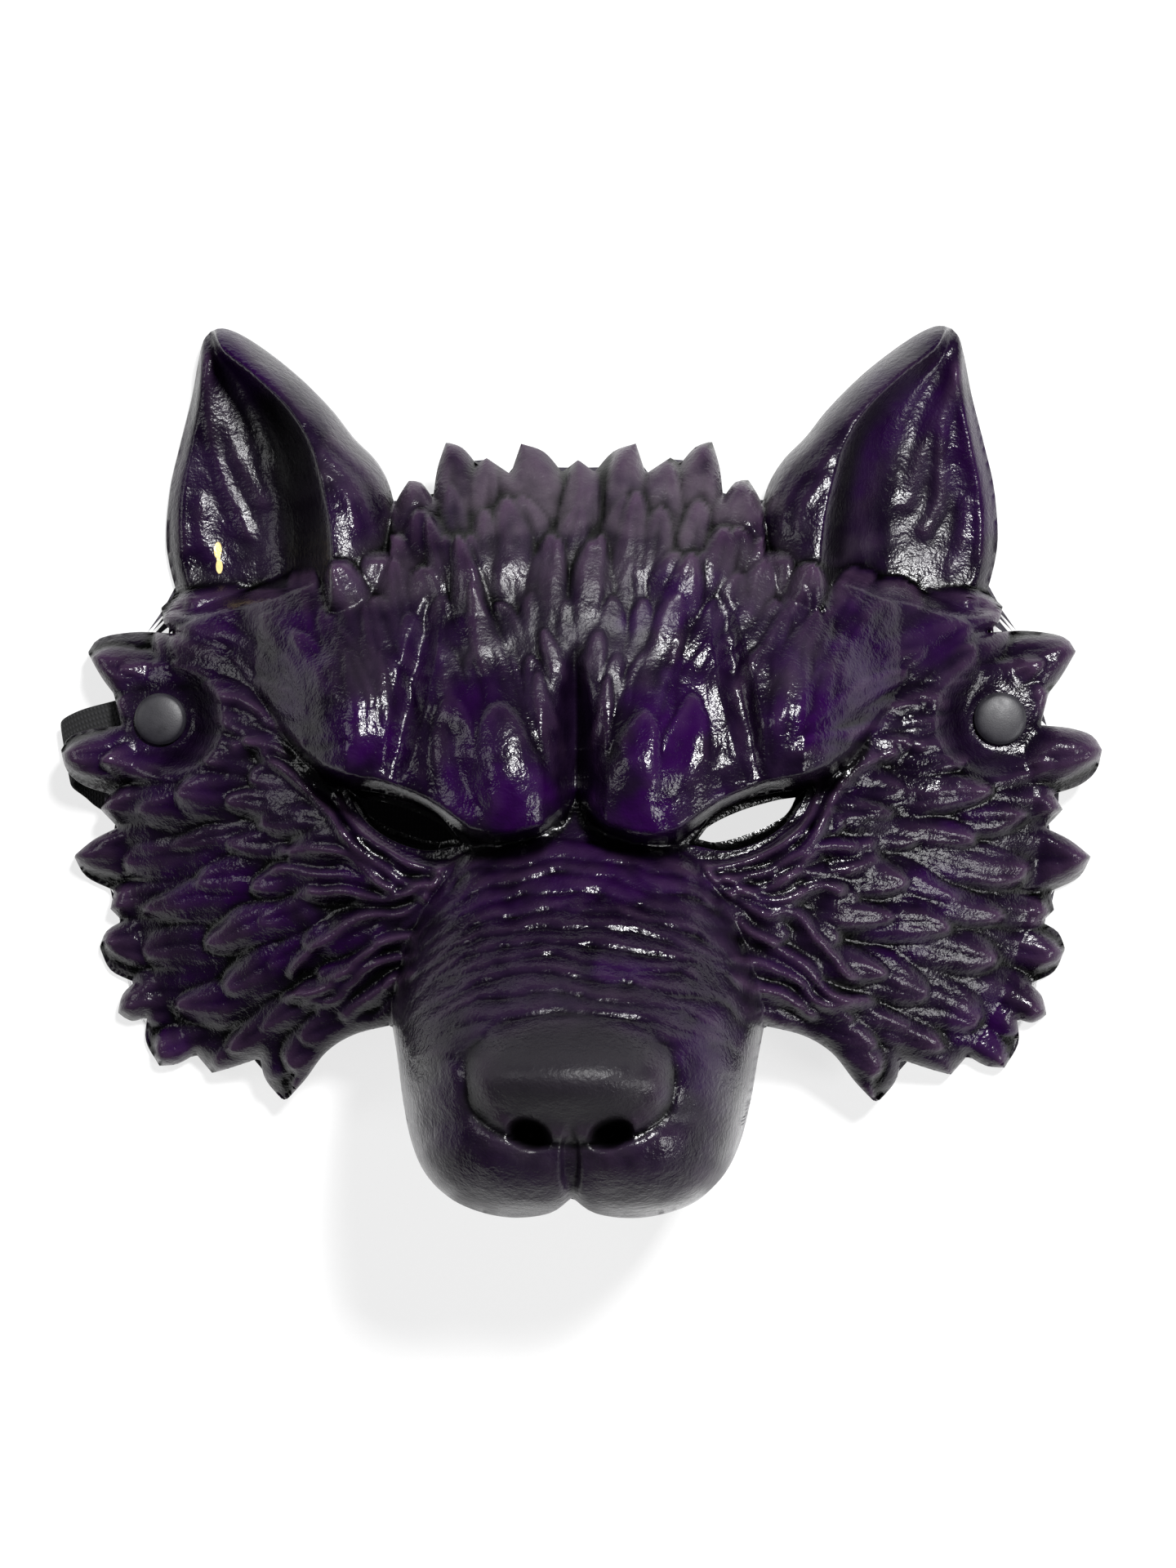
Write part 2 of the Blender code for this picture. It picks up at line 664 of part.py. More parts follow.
def nostril_lines():
    """Points round the right nostril."""
    middle_across, middle_up, half_across, half_up, turn, _ = NOSTRIL
    turn = math.radians(turn)
    parts = [(middle_across, middle_up)]
    for share in (0.55, 0.95, 1.30):
        for number in range(10):
            angle = 2 * math.pi * number / 10
            right = share * half_across * math.cos(angle)
            over = share * half_up * math.sin(angle)
            parts.append(
                (
                    middle_across + right * math.cos(turn) - over * math.sin(turn),
                    middle_up + right * math.sin(turn) + over * math.cos(turn),
                )
            )
    return np.array(parts)


def layer_points(step, inset):
    """The points inside one layer: an even grid, with lines of their own on muzzle, ears and nostrils, and
    round the snaps."""
    plain = hex_grid(step)
    on_muzzle = np.abs(plain[:, 0]) < along(MUZZLE_SECTIONS, plain[:, 1], 1) + 0.01
    on_muzzle &= plain[:, 1] < -0.10
    on_pad = pad_distance(plain) < PAD_RADIUS + 0.3 * step
    plain = plain[~on_muzzle & ~on_pad & ~beside_rim(plain)]
    muzzle = muzzle_grid(step, inset)
    _, _, half_across, half_up, _, _ = NOSTRIL
    right = (np.abs(muzzle[:, 0]) - NOSTRIL[0]) / half_across
    over = (muzzle[:, 1] - NOSTRIL[1]) / half_up
    muzzle = muzzle[np.hypot(right, over) > 1.5]
    mirrored = [ear_lines(step), nostril_lines()]
    mirrored += [ring(SNAP_ACROSS, SNAP_UP, share * PAD_RADIUS, 12) for share in (0.6, 1.0)]
    mirrored = np.concatenate(mirrored)
    return np.concatenate([plain, muzzle, mirrored, mirrored * (-1.0, 1.0)])


def filled(loops, extra, clear):
    """Triangles of the region between an outline and its holes, with extra points at least clear away from
    them. All of it is in metres in one plane."""
    keep = inside(extra, loops[0]) & (distance_to(extra, loops) > clear)
    for hole in loops[1:]:
        keep &= ~inside(extra, hole)
    places = np.concatenate([*loops, extra[keep]])
    edges = []
    start = 0
    for loop in loops:
        count = len(loop)
        edges += [(start + number, start + (number + 1) % count) for number in range(count)]
        start += count
    result = delaunay_2d_cdt((places * 1000.0).tolist(), edges, [], 0, 1e-5, True)
    source = [origin[0] for origin in result[3]]
    faces = np.array([[source[corner] for corner in face] for face in result[2]])
    middle = places[faces].mean(axis=1)
    keep = inside(middle, loops[0])
    for hole in loops[1:]:
        keep &= ~inside(middle, hole)
    faces = faces[keep]
    first, second, third = places[faces[:, 0]], places[faces[:, 1]], places[faces[:, 2]]
    area = (second - first)[:, 0] * (third - first)[:, 1] - (second - first)[:, 1] * (third - first)[:, 0]
    return places, np.where((area < 0)[:, None], faces[:, ::-1], faces)


def mesh_object(name, points, faces, finish):
    mesh = bpy.data.meshes.new(name)
    mesh.from_pydata(np.asarray(points).tolist(), [], [np.asarray(face).tolist() for face in faces])
    mesh.update()
    mesh.shade_smooth()
    mesh.set_sharp_from_angle(angle=math.radians(40))
    made = bpy.data.objects.new(name, mesh)
    bpy.context.scene.collection.objects.link(made)
    made.data.materials.append(finish)
    return made


def layered(name, loops, front, front_faces, back, back_faces, finish):
    """A closed slab: a front and a back layer that both start with the points of the same loops, and the edges
    between them."""
    faces = [*front_faces, *(back_faces[:, ::-1] + len(front))]
    start = 0
    for loop in loops:
        count = len(loop)
        after = np.roll(loop, -1, axis=0)
        anticlockwise = (loop[:, 0] * after[:, 1] - loop[:, 1] * after[:, 0]).sum() > 0
        for number in range(count):
            one = start + number
            two = start + (number + 1) % count
            wall = [one + len(front), two + len(front), two, one]
            faces.append(wall if anticlockwise == (start == 0) else wall[::-1])
        start += count
    return mesh_object(name, np.concatenate([front, back]), faces, finish)


def foam_shell(skin, loops, finish):
    """The moulding: its front is drawn with close points and its back with wider ones."""
    layers = []
    for step, inset, clear in ((FRONT_STEP, 0.0, FRONT_CLEAR), (BACK_STEP, FOAM_WALL, BACK_CLEAR)):
        extra = layer_points(step, inset)
        places, faces = filled([loop * SHARES for loop in loops], extra * SHARES, clear)
        layers.append((places / SHARES, faces))
    (front_places, front_faces), (back_places, back_faces) = layers
    front = draft(front_places[:, 0], front_places[:, 1], skin.front(front_places))
    back = draft(back_places[:, 0], back_places[:, 1], *skin.back(back_places))
    return layered("foam_shell", loops, front, front_faces, back, back_faces, finish)


def turned(name, profile, middle, finish):
    """A round piece about an upright axis: profile is (radius, height) from its axis at the top round to the
    axis below."""
    sides = 2 * ROUND_SIDES
    points = []
    rings = []
    for radius, height in profile:
        if radius == 0.0:
            rings.append([len(points)] * sides)
            points.append((middle[0], middle[1], middle[2] + height))
            continue
        rings.append([len(points) + number for number in range(sides)])
        for number in range(sides):
            angle = 2 * math.pi * number / sides
            right, over = radius * math.cos(angle), radius * math.sin(angle)
            points.append((middle[0] + right, middle[1] + over, middle[2] + height))
    faces = []
    for upper, lower in zip(rings, rings[1:]):
        for number in range(sides):
            after = (number + 1) % sides
            face = [upper[number], lower[number], lower[after], upper[after]]
            faces.append(list(dict.fromkeys(face)))
    return mesh_object(name, points, faces, finish)


def snap_cap(side, snap, finish):
    """The domed cap on the front of the wall, with its post down through wall, strap and socket."""
    dome = [(0.0, CAP_HEIGHT)]
    for angle in range(15, 91, 15):
        across = CAP_RADIUS * math.sin(math.radians(angle))
        dome.append((across, CAP_EDGE + (CAP_HEIGHT - CAP_EDGE) * math.cos(math.radians(angle))))
    depth = FOAM_WALL + 2 * GAP + STRAP_THICKNESS + SOCKET_HEIGHT - SOCKET_FLOOR
    profile = [*dome, (CAP_RADIUS, 0.0), (POST_RADIUS, 0.0), (POST_RADIUS, -depth), (0.0, -depth)]
    return turned(f"snap_cap_{side}", profile, (snap[0], snap[1], snap[2] + GAP), finish)


def snap_socket(side, snap, finish):
    """The socket half behind the strap, with a blind hole for the post."""
    hole = POST_RADIUS + GAP
    bevel = 0.2 * SOCKET_HEIGHT
    profile = [
        (0.0, SOCKET_FLOOR - SOCKET_HEIGHT),
        (hole, SOCKET_FLOOR - SOCKET_HEIGHT),
        (hole, 0.0),
        (SOCKET_RADIUS, 0.0),
        (SOCKET_RADIUS, bevel - SOCKET_HEIGHT),
        (SOCKET_RADIUS - bevel, -SOCKET_HEIGHT),
        (0.0, -SOCKET_HEIGHT),
    ]
    top = snap[2] - FOAM_WALL - 2 * GAP - STRAP_THICKNESS
    return turned(f"snap_socket_{side}", profile, (snap[0], snap[1], top), finish)


def strap_line(snaps):
    """Rows down the middle of the strap (place and turn), from one smooth curve, and the length at each row."""
    under = snaps[0][2] - FOAM_WALL - GAP - 0.5 * STRAP_THICKNESS
    rows = []
    for across, up, height, turn in STRAP_ROUTE:
        height = under if height is None else height * STRAP_THICKNESS
        rows.append((*draft(np.array(across), np.array(up), np.array(height)), turn))
    rows[0] = (*snaps[0][:2], under, rows[0][3])
    rows[-1] = (*snaps[1][:2], under, rows[-1][3])
    rows = np.array(rows)
    padded = np.concatenate([[2 * rows[0] - rows[1]], rows, [2 * rows[-1] - rows[-2]]])
    dense = []
    for number in range(len(rows) - 1):
        before, start, end, after = padded[number : number + 4]
        share = (np.arange(SPAN_STEPS) / SPAN_STEPS)[:, None]
        bend = 2 * before - 5 * start + 4 * end - after
        twist = 3 * start - before - 3 * end + after
        dense.append(0.5 * (2 * start + (end - before) * share + bend * share**2 + twist * share**3))
    dense = np.concatenate([*dense, rows[-1:]])
    dense[:, 2] = np.clip(dense[:, 2], 0.5 * STRAP_THICKNESS, under)
    run = np.concatenate([[0.0], np.cumsum(np.linalg.norm(np.diff(dense[:, :3], axis=0), axis=1))])
    print(f"strap, snap to snap: {run[-1] * 1000:.0f} mm")
    return dense, run


def strap(snaps, finish):
    """A ribbon drawn flat, with round ends and a hole for each post, then laid along its middle line."""
    rows, run = strap_line(snaps)
    length = run[-1]
    radius = 0.5 * STRAP_WIDTH
    stations = np.linspace(0.0, length, STRAP_SAMPLES)
    angle = np.radians(np.linspace(90, 270, ROUND_SIDES // 2 + 1))
    left_end = np.stack([radius * np.cos(angle), radius * np.sin(angle)], axis=1)
    right_end = -left_end + (length, 0.0)
    lower = np.stack([stations[1:-1], np.full(STRAP_SAMPLES - 2, -radius)], axis=1)
    outline = np.concatenate([left_end, lower, right_end, lower[::-1] * (1.0, -1.0)])
    turn = 2 * np.pi * np.arange(ROUND_SIDES) / ROUND_SIDES
    hole = (POST_RADIUS + GAP) * np.stack([np.cos(turn), np.sin(turn)], axis=1)
    loops = [outline, hole, hole + (length, 0.0)]
    flat, faces = filled(loops, np.zeros((1, 2)), GAP)

    at = np.clip(flat[:, 0], 0.0, length)
    past = (flat[:, 0] - at)[:, None]
    middle = np.stack([np.interp(at, run, rows[:, number]) for number in range(3)], axis=1)
    slope = np.gradient(rows[:, :3], run, axis=0)
    direction = np.stack([np.interp(at, run, slope[:, number]) for number in range(3)], axis=1)
    direction /= np.linalg.norm(direction, axis=1)[:, None]
    facing = np.radians(np.interp(at, run, rows[:, 3]))
    sideways = np.stack([np.sin(facing), -np.cos(facing), np.zeros_like(facing)], axis=1)
    outward = np.cross(direction, sideways)
    outward /= np.linalg.norm(outward, axis=1)[:, None]
    surface = middle + past * direction + flat[:, 1:] * sideways
    front = surface + 0.5 * STRAP_THICKNESS * outward
    back = surface - 0.5 * STRAP_THICKNESS * outward
    return layered("strap", loops, front, faces, back, faces, finish)


def stand_on_floor():
    """Moves the whole part so that the middle of its box's underside is at the origin."""
    low = np.full(3, np.inf)
    high = -low
    for made in bpy.data.objects:
        corners = np.empty(len(made.data.vertices) * 3)
        made.data.vertices.foreach_get("co", corners)
        corners = corners.reshape(-1, 3)
        low = np.minimum(low, corners.min(axis=0))
        high = np.maximum(high, corners.max(axis=0))
    shift = -np.array([(low[0] + high[0]) / 2, (low[1] + high[1]) / 2, low[2]])
    for made in bpy.data.objects:
        made.location = shift
    print("moved by", np.round(shift * 1000, 2), "mm; size", np.round((high - low) * 1000, 1), "mm")


def build():
    clear_scene()
    foam = material("black foam", (0.020, 0.012, 0.030), 0.35, coat=0.4)
    plastic = material("black plastic", (0.010, 0.010, 0.012), 0.40)
    elastic = material("black elastic", (0.008, 0.008, 0.009), 0.85)

    outline = mask_outline(OUTLINE_STEP)
    eyes = [eye_outline(side, OUTLINE_STEP) for side in (1.0, -1.0)]
    posts = [ring(side * SNAP_ACROSS, SNAP_UP, POST_RADIUS + GAP) for side in (1.0, -1.0)]
    skin = Skin(outline, eyes)
    foam_shell(skin, [outline, *eyes, *posts], foam)

    snaps = []
    for name, side in (("left", -1.0), ("right", 1.0)):
        snap = draft(np.array(side * SNAP_ACROSS), np.array(SNAP_UP), np.array(skin.pad))
        snaps.append(snap)
        snap_cap(name, snap, plastic)
        snap_socket(name, snap, plastic)
    strap(snaps, elastic)
    stand_on_floor()


build()
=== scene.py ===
# %% [markdown]
# A moulded foam wolf mask
#
# This lesson dresses a plain solid of a half mask until it looks like the real thing. The real mask is one
# moulding of soft foam with a thin lacquered skin. Its fur is carved into the mould, so it is relief and not
# hair. Two plastic snaps at the temples hold a flat elastic strap that runs behind it.
#
# Nearly all of the work is one idea. The mask lies face up, so every place on it has a height, and a height
# for every place is a picture made of numbers. Form, fur, wrinkles and paint are all worked out as such
# pictures with numpy, and only at the end does a mesh read them.

# %% Load the solid model
import math

import bpy
import numpy as np
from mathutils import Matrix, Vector


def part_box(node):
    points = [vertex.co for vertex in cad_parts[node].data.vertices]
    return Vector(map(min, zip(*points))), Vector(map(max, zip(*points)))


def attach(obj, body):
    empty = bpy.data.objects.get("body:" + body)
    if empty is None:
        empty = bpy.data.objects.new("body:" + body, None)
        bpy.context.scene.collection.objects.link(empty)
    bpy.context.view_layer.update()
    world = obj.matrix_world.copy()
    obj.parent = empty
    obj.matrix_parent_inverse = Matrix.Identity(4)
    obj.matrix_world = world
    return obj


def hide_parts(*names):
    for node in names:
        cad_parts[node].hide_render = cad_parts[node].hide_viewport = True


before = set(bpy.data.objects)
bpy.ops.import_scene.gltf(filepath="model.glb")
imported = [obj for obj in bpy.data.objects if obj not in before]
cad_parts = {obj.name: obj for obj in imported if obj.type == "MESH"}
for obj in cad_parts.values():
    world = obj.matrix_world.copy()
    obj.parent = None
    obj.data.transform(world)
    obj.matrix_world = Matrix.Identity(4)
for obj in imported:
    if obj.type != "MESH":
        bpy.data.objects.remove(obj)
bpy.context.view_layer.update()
print("solids:", sorted(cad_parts))

# %% [markdown]
# The measures of the solid
#
# The mask's tables hold shares of three sizes, the same three that the solid was drawn from. A place on the
# face is (across, up), and a height is a share of the depth. The moulding also leans in a little as it rises,
# as if it were drawn from a point high above it. The camera looks from near that point, so the outline that
# it sees is the outline of the tables.

# %% Named sizes
HALF_FACE = 0.100
FACE_RISE = 0.100
DEPTH = 0.100
SHARES = np.array([HALF_FACE, FACE_RISE])
FOAM_WALL = 0.0045
THIN_WALL = 0.0028
SNAP_RAISED = 0.0042
EDGE_ROUND = 0.0036
DRAFT_HEIGHT = 0.600
DRAFT_UP = -0.028
SNAP_ACROSS = 1.02
SNAP_UP = 0.13
SNAP_DEPTH = 0.095
CAP_RADIUS = 0.0062
CAP_HEIGHT = 0.0030
POST_RADIUS = 0.0020
SOCKET_RADIUS = 0.0055
SOCKET_HEIGHT = 0.0026
SOCKET_FLOOR = 0.0008
STRAP_WIDTH = 0.015
STRAP_THICKNESS = 0.0012
GAP = 0.0003
MM = 0.001


def draft(across, up, height, lean=None):
    """Points in metres for places and heights. Both shares shrink towards the middle as the height grows."""
    near = 1.0 - (height if lean is None else lean) / DRAFT_HEIGHT
    middle = DRAFT_UP * FACE_RISE
    return np.stack([across * HALF_FACE * near, middle + (up * FACE_RISE - middle) * near, height], axis=-1)


PAD_TOP = SNAP_DEPTH * DEPTH + FOAM_WALL
cap_middles = []
for name in ("snap_cap_left", "snap_cap_right"):
    low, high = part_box(name)
    cap_middles.append([(low[axis] + high[axis]) / 2 for axis in range(2)])
SHIFT = np.append(np.mean(cap_middles, axis=0) - draft(0.0, SNAP_UP, np.array(PAD_TOP))[:2], 0.0)
print("the solid stands", np.round(SHIFT * 1000, 2), "mm from where its tables put it")

# %% [markdown]
# The camera
#
# The photograph looks almost straight down at the mask, from a hand's reach above it and a little to the
# right of its middle. A camera on the mould's own drawing point repeats that, with no shift of its lens.

# %% Camera
VIEW_FROM = (0.0140, -0.0028, 0.600)
VIEW_AT = (0.0018, -0.0028, 0.0)

camera = bpy.data.objects.new("camera", bpy.data.cameras.new("camera"))
bpy.context.scene.collection.objects.link(camera)
camera.data.lens = 56.25
camera.data.sensor_width = 36.0
camera.data.clip_start = 0.05
camera.location = Vector(VIEW_FROM) + Vector(SHIFT)
camera.rotation_euler = (0.0, math.atan2(VIEW_FROM[0] - VIEW_AT[0], VIEW_FROM[2] - VIEW_AT[2]), 0.0)
bpy.context.scene.camera = camera
print("camera leans", round(math.degrees(camera.rotation_euler[1]), 2), "degrees from straight down")

# %% [markdown]
# The outline
#
# The edge of the moulding runs from tuft to tuft. Each row is a point of the right half. A corner is a tip or a
# notch, and the points between two corners lie on one smooth curve. Tracing it as a spline in Blender would
# work as well, but a table can be mirrored, measured and filled by the same few lines of numpy.

# %% Outline of the mask and of an eye
# across, up, corner
OUTLINE = (
    (0.000, 0.765, True),
    (0.040, 0.735, True),
    (0.085, 0.785, False),
    (0.140, 0.805, True),
    (0.165, 0.730, True),
    (0.225, 0.770, True),
    (0.250, 0.755, True),
    (0.285, 0.795, False),
    (0.325, 0.810, True),
    (0.345, 0.745, False),
    (0.355, 0.670, True),
    (0.385, 0.710, False),
    (0.415, 0.715, True),
    (0.435, 0.685, False),
    (0.450, 0.655, True),
    (0.470, 0.715, False),
    (0.505, 0.770, False),
    (0.555, 0.820, False),
    (0.610, 0.890, False),
    (0.695, 0.975, False),
    (0.785, 1.045, False),
    (0.850, 1.083, False),
    (0.890, 1.090, False),
    (0.922, 1.068, False),
    (0.938, 1.010, False),
    (0.955, 0.920, False),
    (0.985, 0.800, False),
    (1.008, 0.700, False),
    (1.018, 0.590, False),
    (1.012, 0.520, False),
    (0.992, 0.440, True),
    (1.030, 0.405, True),
    (1.020, 0.365, False),
    (0.985, 0.340, True),
    (1.090, 0.345, False),
    (1.180, 0.330, False),
    (1.210, 0.295, True),
    (1.175, 0.235, False),
    (1.145, 0.195, True),
    (1.125, 0.115, True),
    (1.195, 0.108, False),
    (1.250, 0.090, False),
    (1.275, 0.055, True),
    (1.260, 0.005, False),
    (1.220, -0.030, False),
    (1.155, -0.052, True),
    (1.178, -0.090, True),
    (1.135, -0.135, True),
    (1.195, -0.165, False),
    (1.245, -0.205, True),
    (1.215, -0.255, False),
    (1.145, -0.290, True),
    (1.155, -0.335, True),
    (1.125, -0.365, True),
    (1.165, -0.390, False),
    (1.182, -0.430, True),
    (1.155, -0.485, False),
    (1.095, -0.515, True),
    (1.125, -0.545, False),
    (1.137, -0.590, True),
    (1.105, -0.610, False),
    (1.065, -0.600, True),
    (1.068, -0.660, False),
    (1.035, -0.720, True),
    (0.990, -0.715, False),
    (0.945, -0.690, True),
    (0.905, -0.737, True),
    (0.860, -0.725, False),
    (0.785, -0.700, True),
    (0.770, -0.755, False),
    (0.725, -0.808, True),
    (0.675, -0.755, False),
    (0.620, -0.685, False),
    (0.550, -0.642, False),
    (0.455, -0.618, True),
    (0.440, -0.700, False),
    (0.425, -0.800, False),
    (0.403, -0.900, False),
    (0.367, -0.980, False),
    (0.308, -1.040, False),
    (0.235, -1.075, False),
    (0.145, -1.090, False),
    (0.055, -1.078, False),
    (0.000, -1.040, True),
)
# across, up, corner
EYE_HOLE = (
    (0.275, -0.176, True),
    (0.330, -0.110, False),
    (0.400, -0.070, False),
    (0.480, -0.050, False),
    (0.565, -0.038, True),
    (0.530, -0.105, False),
    (0.465, -0.160, False),
    (0.370, -0.192, False),
)
CURVE_STEP = 0.0016


def curve_through(points, step=CURVE_STEP):
    """Catmull-Rom curve: each span is the cubic whose ends have the slope between their neighbours."""
    points = np.array(points, float)
    padded = np.concatenate([[2 * points[0] - points[1]], points, [2 * points[-1] - points[-2]]])
    parts = []
    for number in range(len(points) - 1):
        before, start, end, after = padded[number : number + 4]
        count = max(1, round(float(np.linalg.norm((end - start)[:2])) * HALF_FACE / step))
        share = (np.arange(count) / count)[:, None]
        bend = 2 * before - 5 * start + 4 * end - after
        twist = 3 * start - before - 3 * end + after
        parts.append(0.5 * (2 * start + (end - before) * share + bend * share**2 + twist * share**3))
    return np.concatenate(parts)


def outline_points(table):
    """The smooth curves between a table's corners, end to end."""
    corners = [number for number, row in enumerate(table) if row[2]]
    spans = zip(corners, corners[1:])
    runs = [[row[:2] for row in table[first : last + 1]] for first, last in spans]
    return np.concatenate([curve_through(run) for run in runs])


right_half = np.concatenate([outline_points(OUTLINE), [OUTLINE[-1][:2]]])
mask_edge = np.concatenate([right_half, right_half[1:-1][::-1] * (-1.0, 1.0)])
eye_edge = outline_points((*EYE_HOLE, EYE_HOLE[0]))
EDGES = [mask_edge, eye_edge, eye_edge * (-1.0, 1.0)]
edge_run = np.linalg.norm(np.diff(mask_edge * SHARES, axis=0), axis=1).sum()
print(f"outline: {len(mask_edge)} points, {edge_run * 1000:.0f} mm round")

# %% [markdown]
# The picture of heights
#
# All of the relief is worked out on one even raster of places, fine enough for a single strand of moulded fur.
# A raster makes blurring easy, and a blurred height compared with the height itself says what is raised and
# what is sunk. Paint needs exactly that, because the real mask was rubbed with a paler colour on its ridges,
# and its creases are darkened with painted shade.

# %% Raster, noise and blur
PITCH = 0.004
ACROSS_AXIS = np.arange(-1.36, 1.3601, PITCH)
UP_AXIS = np.arange(-1.16, 1.1601, PITCH)
ACROSS, UP = np.meshgrid(ACROSS_AXIS, UP_AXIS)
MIRRORED = np.abs(ACROSS)
chance = np.random.default_rng(7)


def blurred(field, size):
    """The field after a Gaussian blur of so many millimetres: its spectrum times that of the bell curve."""
    share = size / (PITCH * 100)
    rows = np.fft.fftfreq(field.shape[0])[:, None]
    columns = np.fft.rfftfreq(field.shape[1])[None, :]
    bell = np.exp(-2 * (np.pi * share) ** 2 * (rows**2 + columns**2))
    return np.fft.irfft2(np.fft.rfft2(field) * bell, s=field.shape)


def mottle(size):
    """Soft random patches about that many millimetres wide, between about -2 and 2: blurred white noise."""
    patches = blurred(chance.standard_normal(ACROSS.shape), size)
    return patches / patches.std()


def smooth_step(value):
    """0 below 0, 1 above 1, and three squares minus two cubes between."""
    value = np.clip(value, 0.0, 1.0)
    return value * value * (3.0 - 2.0 * value)


def bump_at(row):
    """One minus the squared distance from an oval's middle, to the power 1.5, times its height."""
    middle_across, middle_up, half_across, half_up, turn, height = row
    turn = math.radians(turn)
    right = MIRRORED - middle_across
    over = UP - middle_up
    first = (right * math.cos(turn) + over * math.sin(turn)) / half_across
    second = (over * math.cos(turn) - right * math.sin(turn)) / half_up
    return height * np.clip(1.0 - first**2 - second**2, 0.0, 1.0) ** 1.5


print("raster:", ACROSS.shape, "places,", PITCH * 100, "mm apart")

# %% [markdown]
# The face under the fur
#
# A face of this kind is a blunt arch across each section, so a table of sections from the brow down holds all
# of it: how high it is in the middle and at the edge, how wide, and how blunt. Sculpting would give the same
# form, but nobody could read the result or change one number of it.

# %% Sections of the face and of the muzzle
# up, middle, edge, half_width, bluntness
FACE_SECTIONS = (
    (-0.85, 0.20, 0.00, 0.90, 2.0),
    (-0.70, 0.29, 0.00, 0.95, 2.0),
    (-0.55, 0.38, 0.00, 1.03, 2.0),
    (-0.40, 0.43, 0.00, 1.08, 2.1),
    (-0.20, 0.46, 0.005, 1.12, 2.1),
    (0.00, 0.48, 0.02, 1.10, 2.1),
    (0.15, 0.49, 0.03, 1.07, 2.1),
    (0.35, 0.47, 0.04, 1.04, 2.1),
    (0.50, 0.41, 0.06, 0.96, 2.0),
    (0.66, 0.31, 0.10, 0.85, 2.0),
    (0.78, 0.21, 0.08, 0.80, 2.0),
    (0.90, 0.14, 0.06, 0.80, 2.0),
)
# across, up
FACE_TOP = (
    (0.00, 0.90),
    (0.42, 0.84),
    (0.47, 0.72),
    (0.54, 0.54),
    (0.62, 0.47),
    (0.75, 0.42),
    (0.95, 0.37),
    (1.30, 0.37),
)
FACE_TOP_DROP = 0.45
FACE_TOP_FADE = 0.12
# up, half_width, bridge, rim
MUZZLE_SECTIONS = (
    (-1.12, 0.120, 0.69, 0.69),
    (-1.085, 0.180, 0.73, 0.68),
    (-1.06, 0.270, 0.79, 0.66),
    (-1.03, 0.320, 0.83, 0.63),
    (-0.98, 0.367, 0.87, 0.58),
    (-0.92, 0.396, 0.90, 0.52),
    (-0.86, 0.413, 0.92, 0.46),
    (-0.80, 0.425, 0.95, 0.40),
    (-0.72, 0.437, 0.95, 0.33),
    (-0.66, 0.446, 0.91, 0.29),
    (-0.60, 0.452, 0.85, 0.27),
    (-0.50, 0.435, 0.75, 0.26),
    (-0.40, 0.410, 0.66, 0.25),
    (-0.30, 0.370, 0.57, 0.25),
    (-0.20, 0.315, 0.50, 0.25),
    (-0.14, 0.265, 0.47, 0.25),
    (-0.06, 0.16, 0.43, 0.25),
)
MUZZLE_BLUNTNESS = 2.7
MUZZLE_START = -0.06
CHEEK_END = -0.62


def along(table, place, number):
    """Cubic Hermite lookup: a column of a table at a place in its first column, eased between its rows."""
    keys, values = np.array([(row[0], row[number]) for row in table]).T
    slopes = np.gradient(values, keys)
    row = np.clip(np.searchsorted(keys, place) - 1, 0, len(keys) - 2)
    run = keys[row + 1] - keys[row]
    share = np.clip((place - keys[row]) / run, 0.0, 1.0)
    ends = (1 + 2 * share) * (1 - share) ** 2 * values[row] + share**2 * (3 - 2 * share) * values[row + 1]
    return ends + share * (1 - share) ** 2 * run * slopes[row] - share**2 * (1 - share) * run * slopes[row + 1]


def straight(table, place, number):
    """The same lookup with straight lines between rows."""
    keys, values = np.array([(row[0], row[number]) for row in table]).T
    return np.interp(place, keys, values)


def face_height():
    """Edge height plus the rise times one minus the half width's share to the power of the bluntness."""
    middle, edge, half, bluntness = [along(FACE_SECTIONS, UP, number) for number in range(1, 5)]
    share = np.clip(MIRRORED / half, 0.0, 1.0)
    height = edge + (middle - edge) * (1.0 - share**bluntness)
    return height - FACE_TOP_DROP * smooth_step((UP - straight(FACE_TOP, MIRRORED, 1)) / FACE_TOP_FADE)


def muzzle_height():
    """A superellipse over the lower rim: (1 - share^n)^(1/n) of the way up to the bridge."""
    half, bridge, rim = [along(MUZZLE_SECTIONS, UP, number) for number in range(1, 4)]
    share = np.clip(MIRRORED / half, 0.0, 1.0)
    arch = (1.0 - share**MUZZLE_BLUNTNESS) ** (1.0 / MUZZLE_BLUNTNESS)
    height = np.where(MIRRORED > half, rim - 2.0 * (MIRRORED - half), rim + (bridge - rim) * arch)
    return np.where(UP > MUZZLE_START, 0.0, height)


tops = [round(float(height().max()) * 100, 1) for height in (face_height, muzzle_height)]
print("highest face", tops[0], "mm, muzzle", tops[1])

# %% [markdown]
# The ears
#
# Each ear is a cup behind a fold. Going outwards, the back of the ear rises to the fold, drops steeply into the
# cup and ends in a soft outer lip. A profile with four heights per section carries that from the base to the
# tip, which is simpler than lofting a separate shape and joining it on.

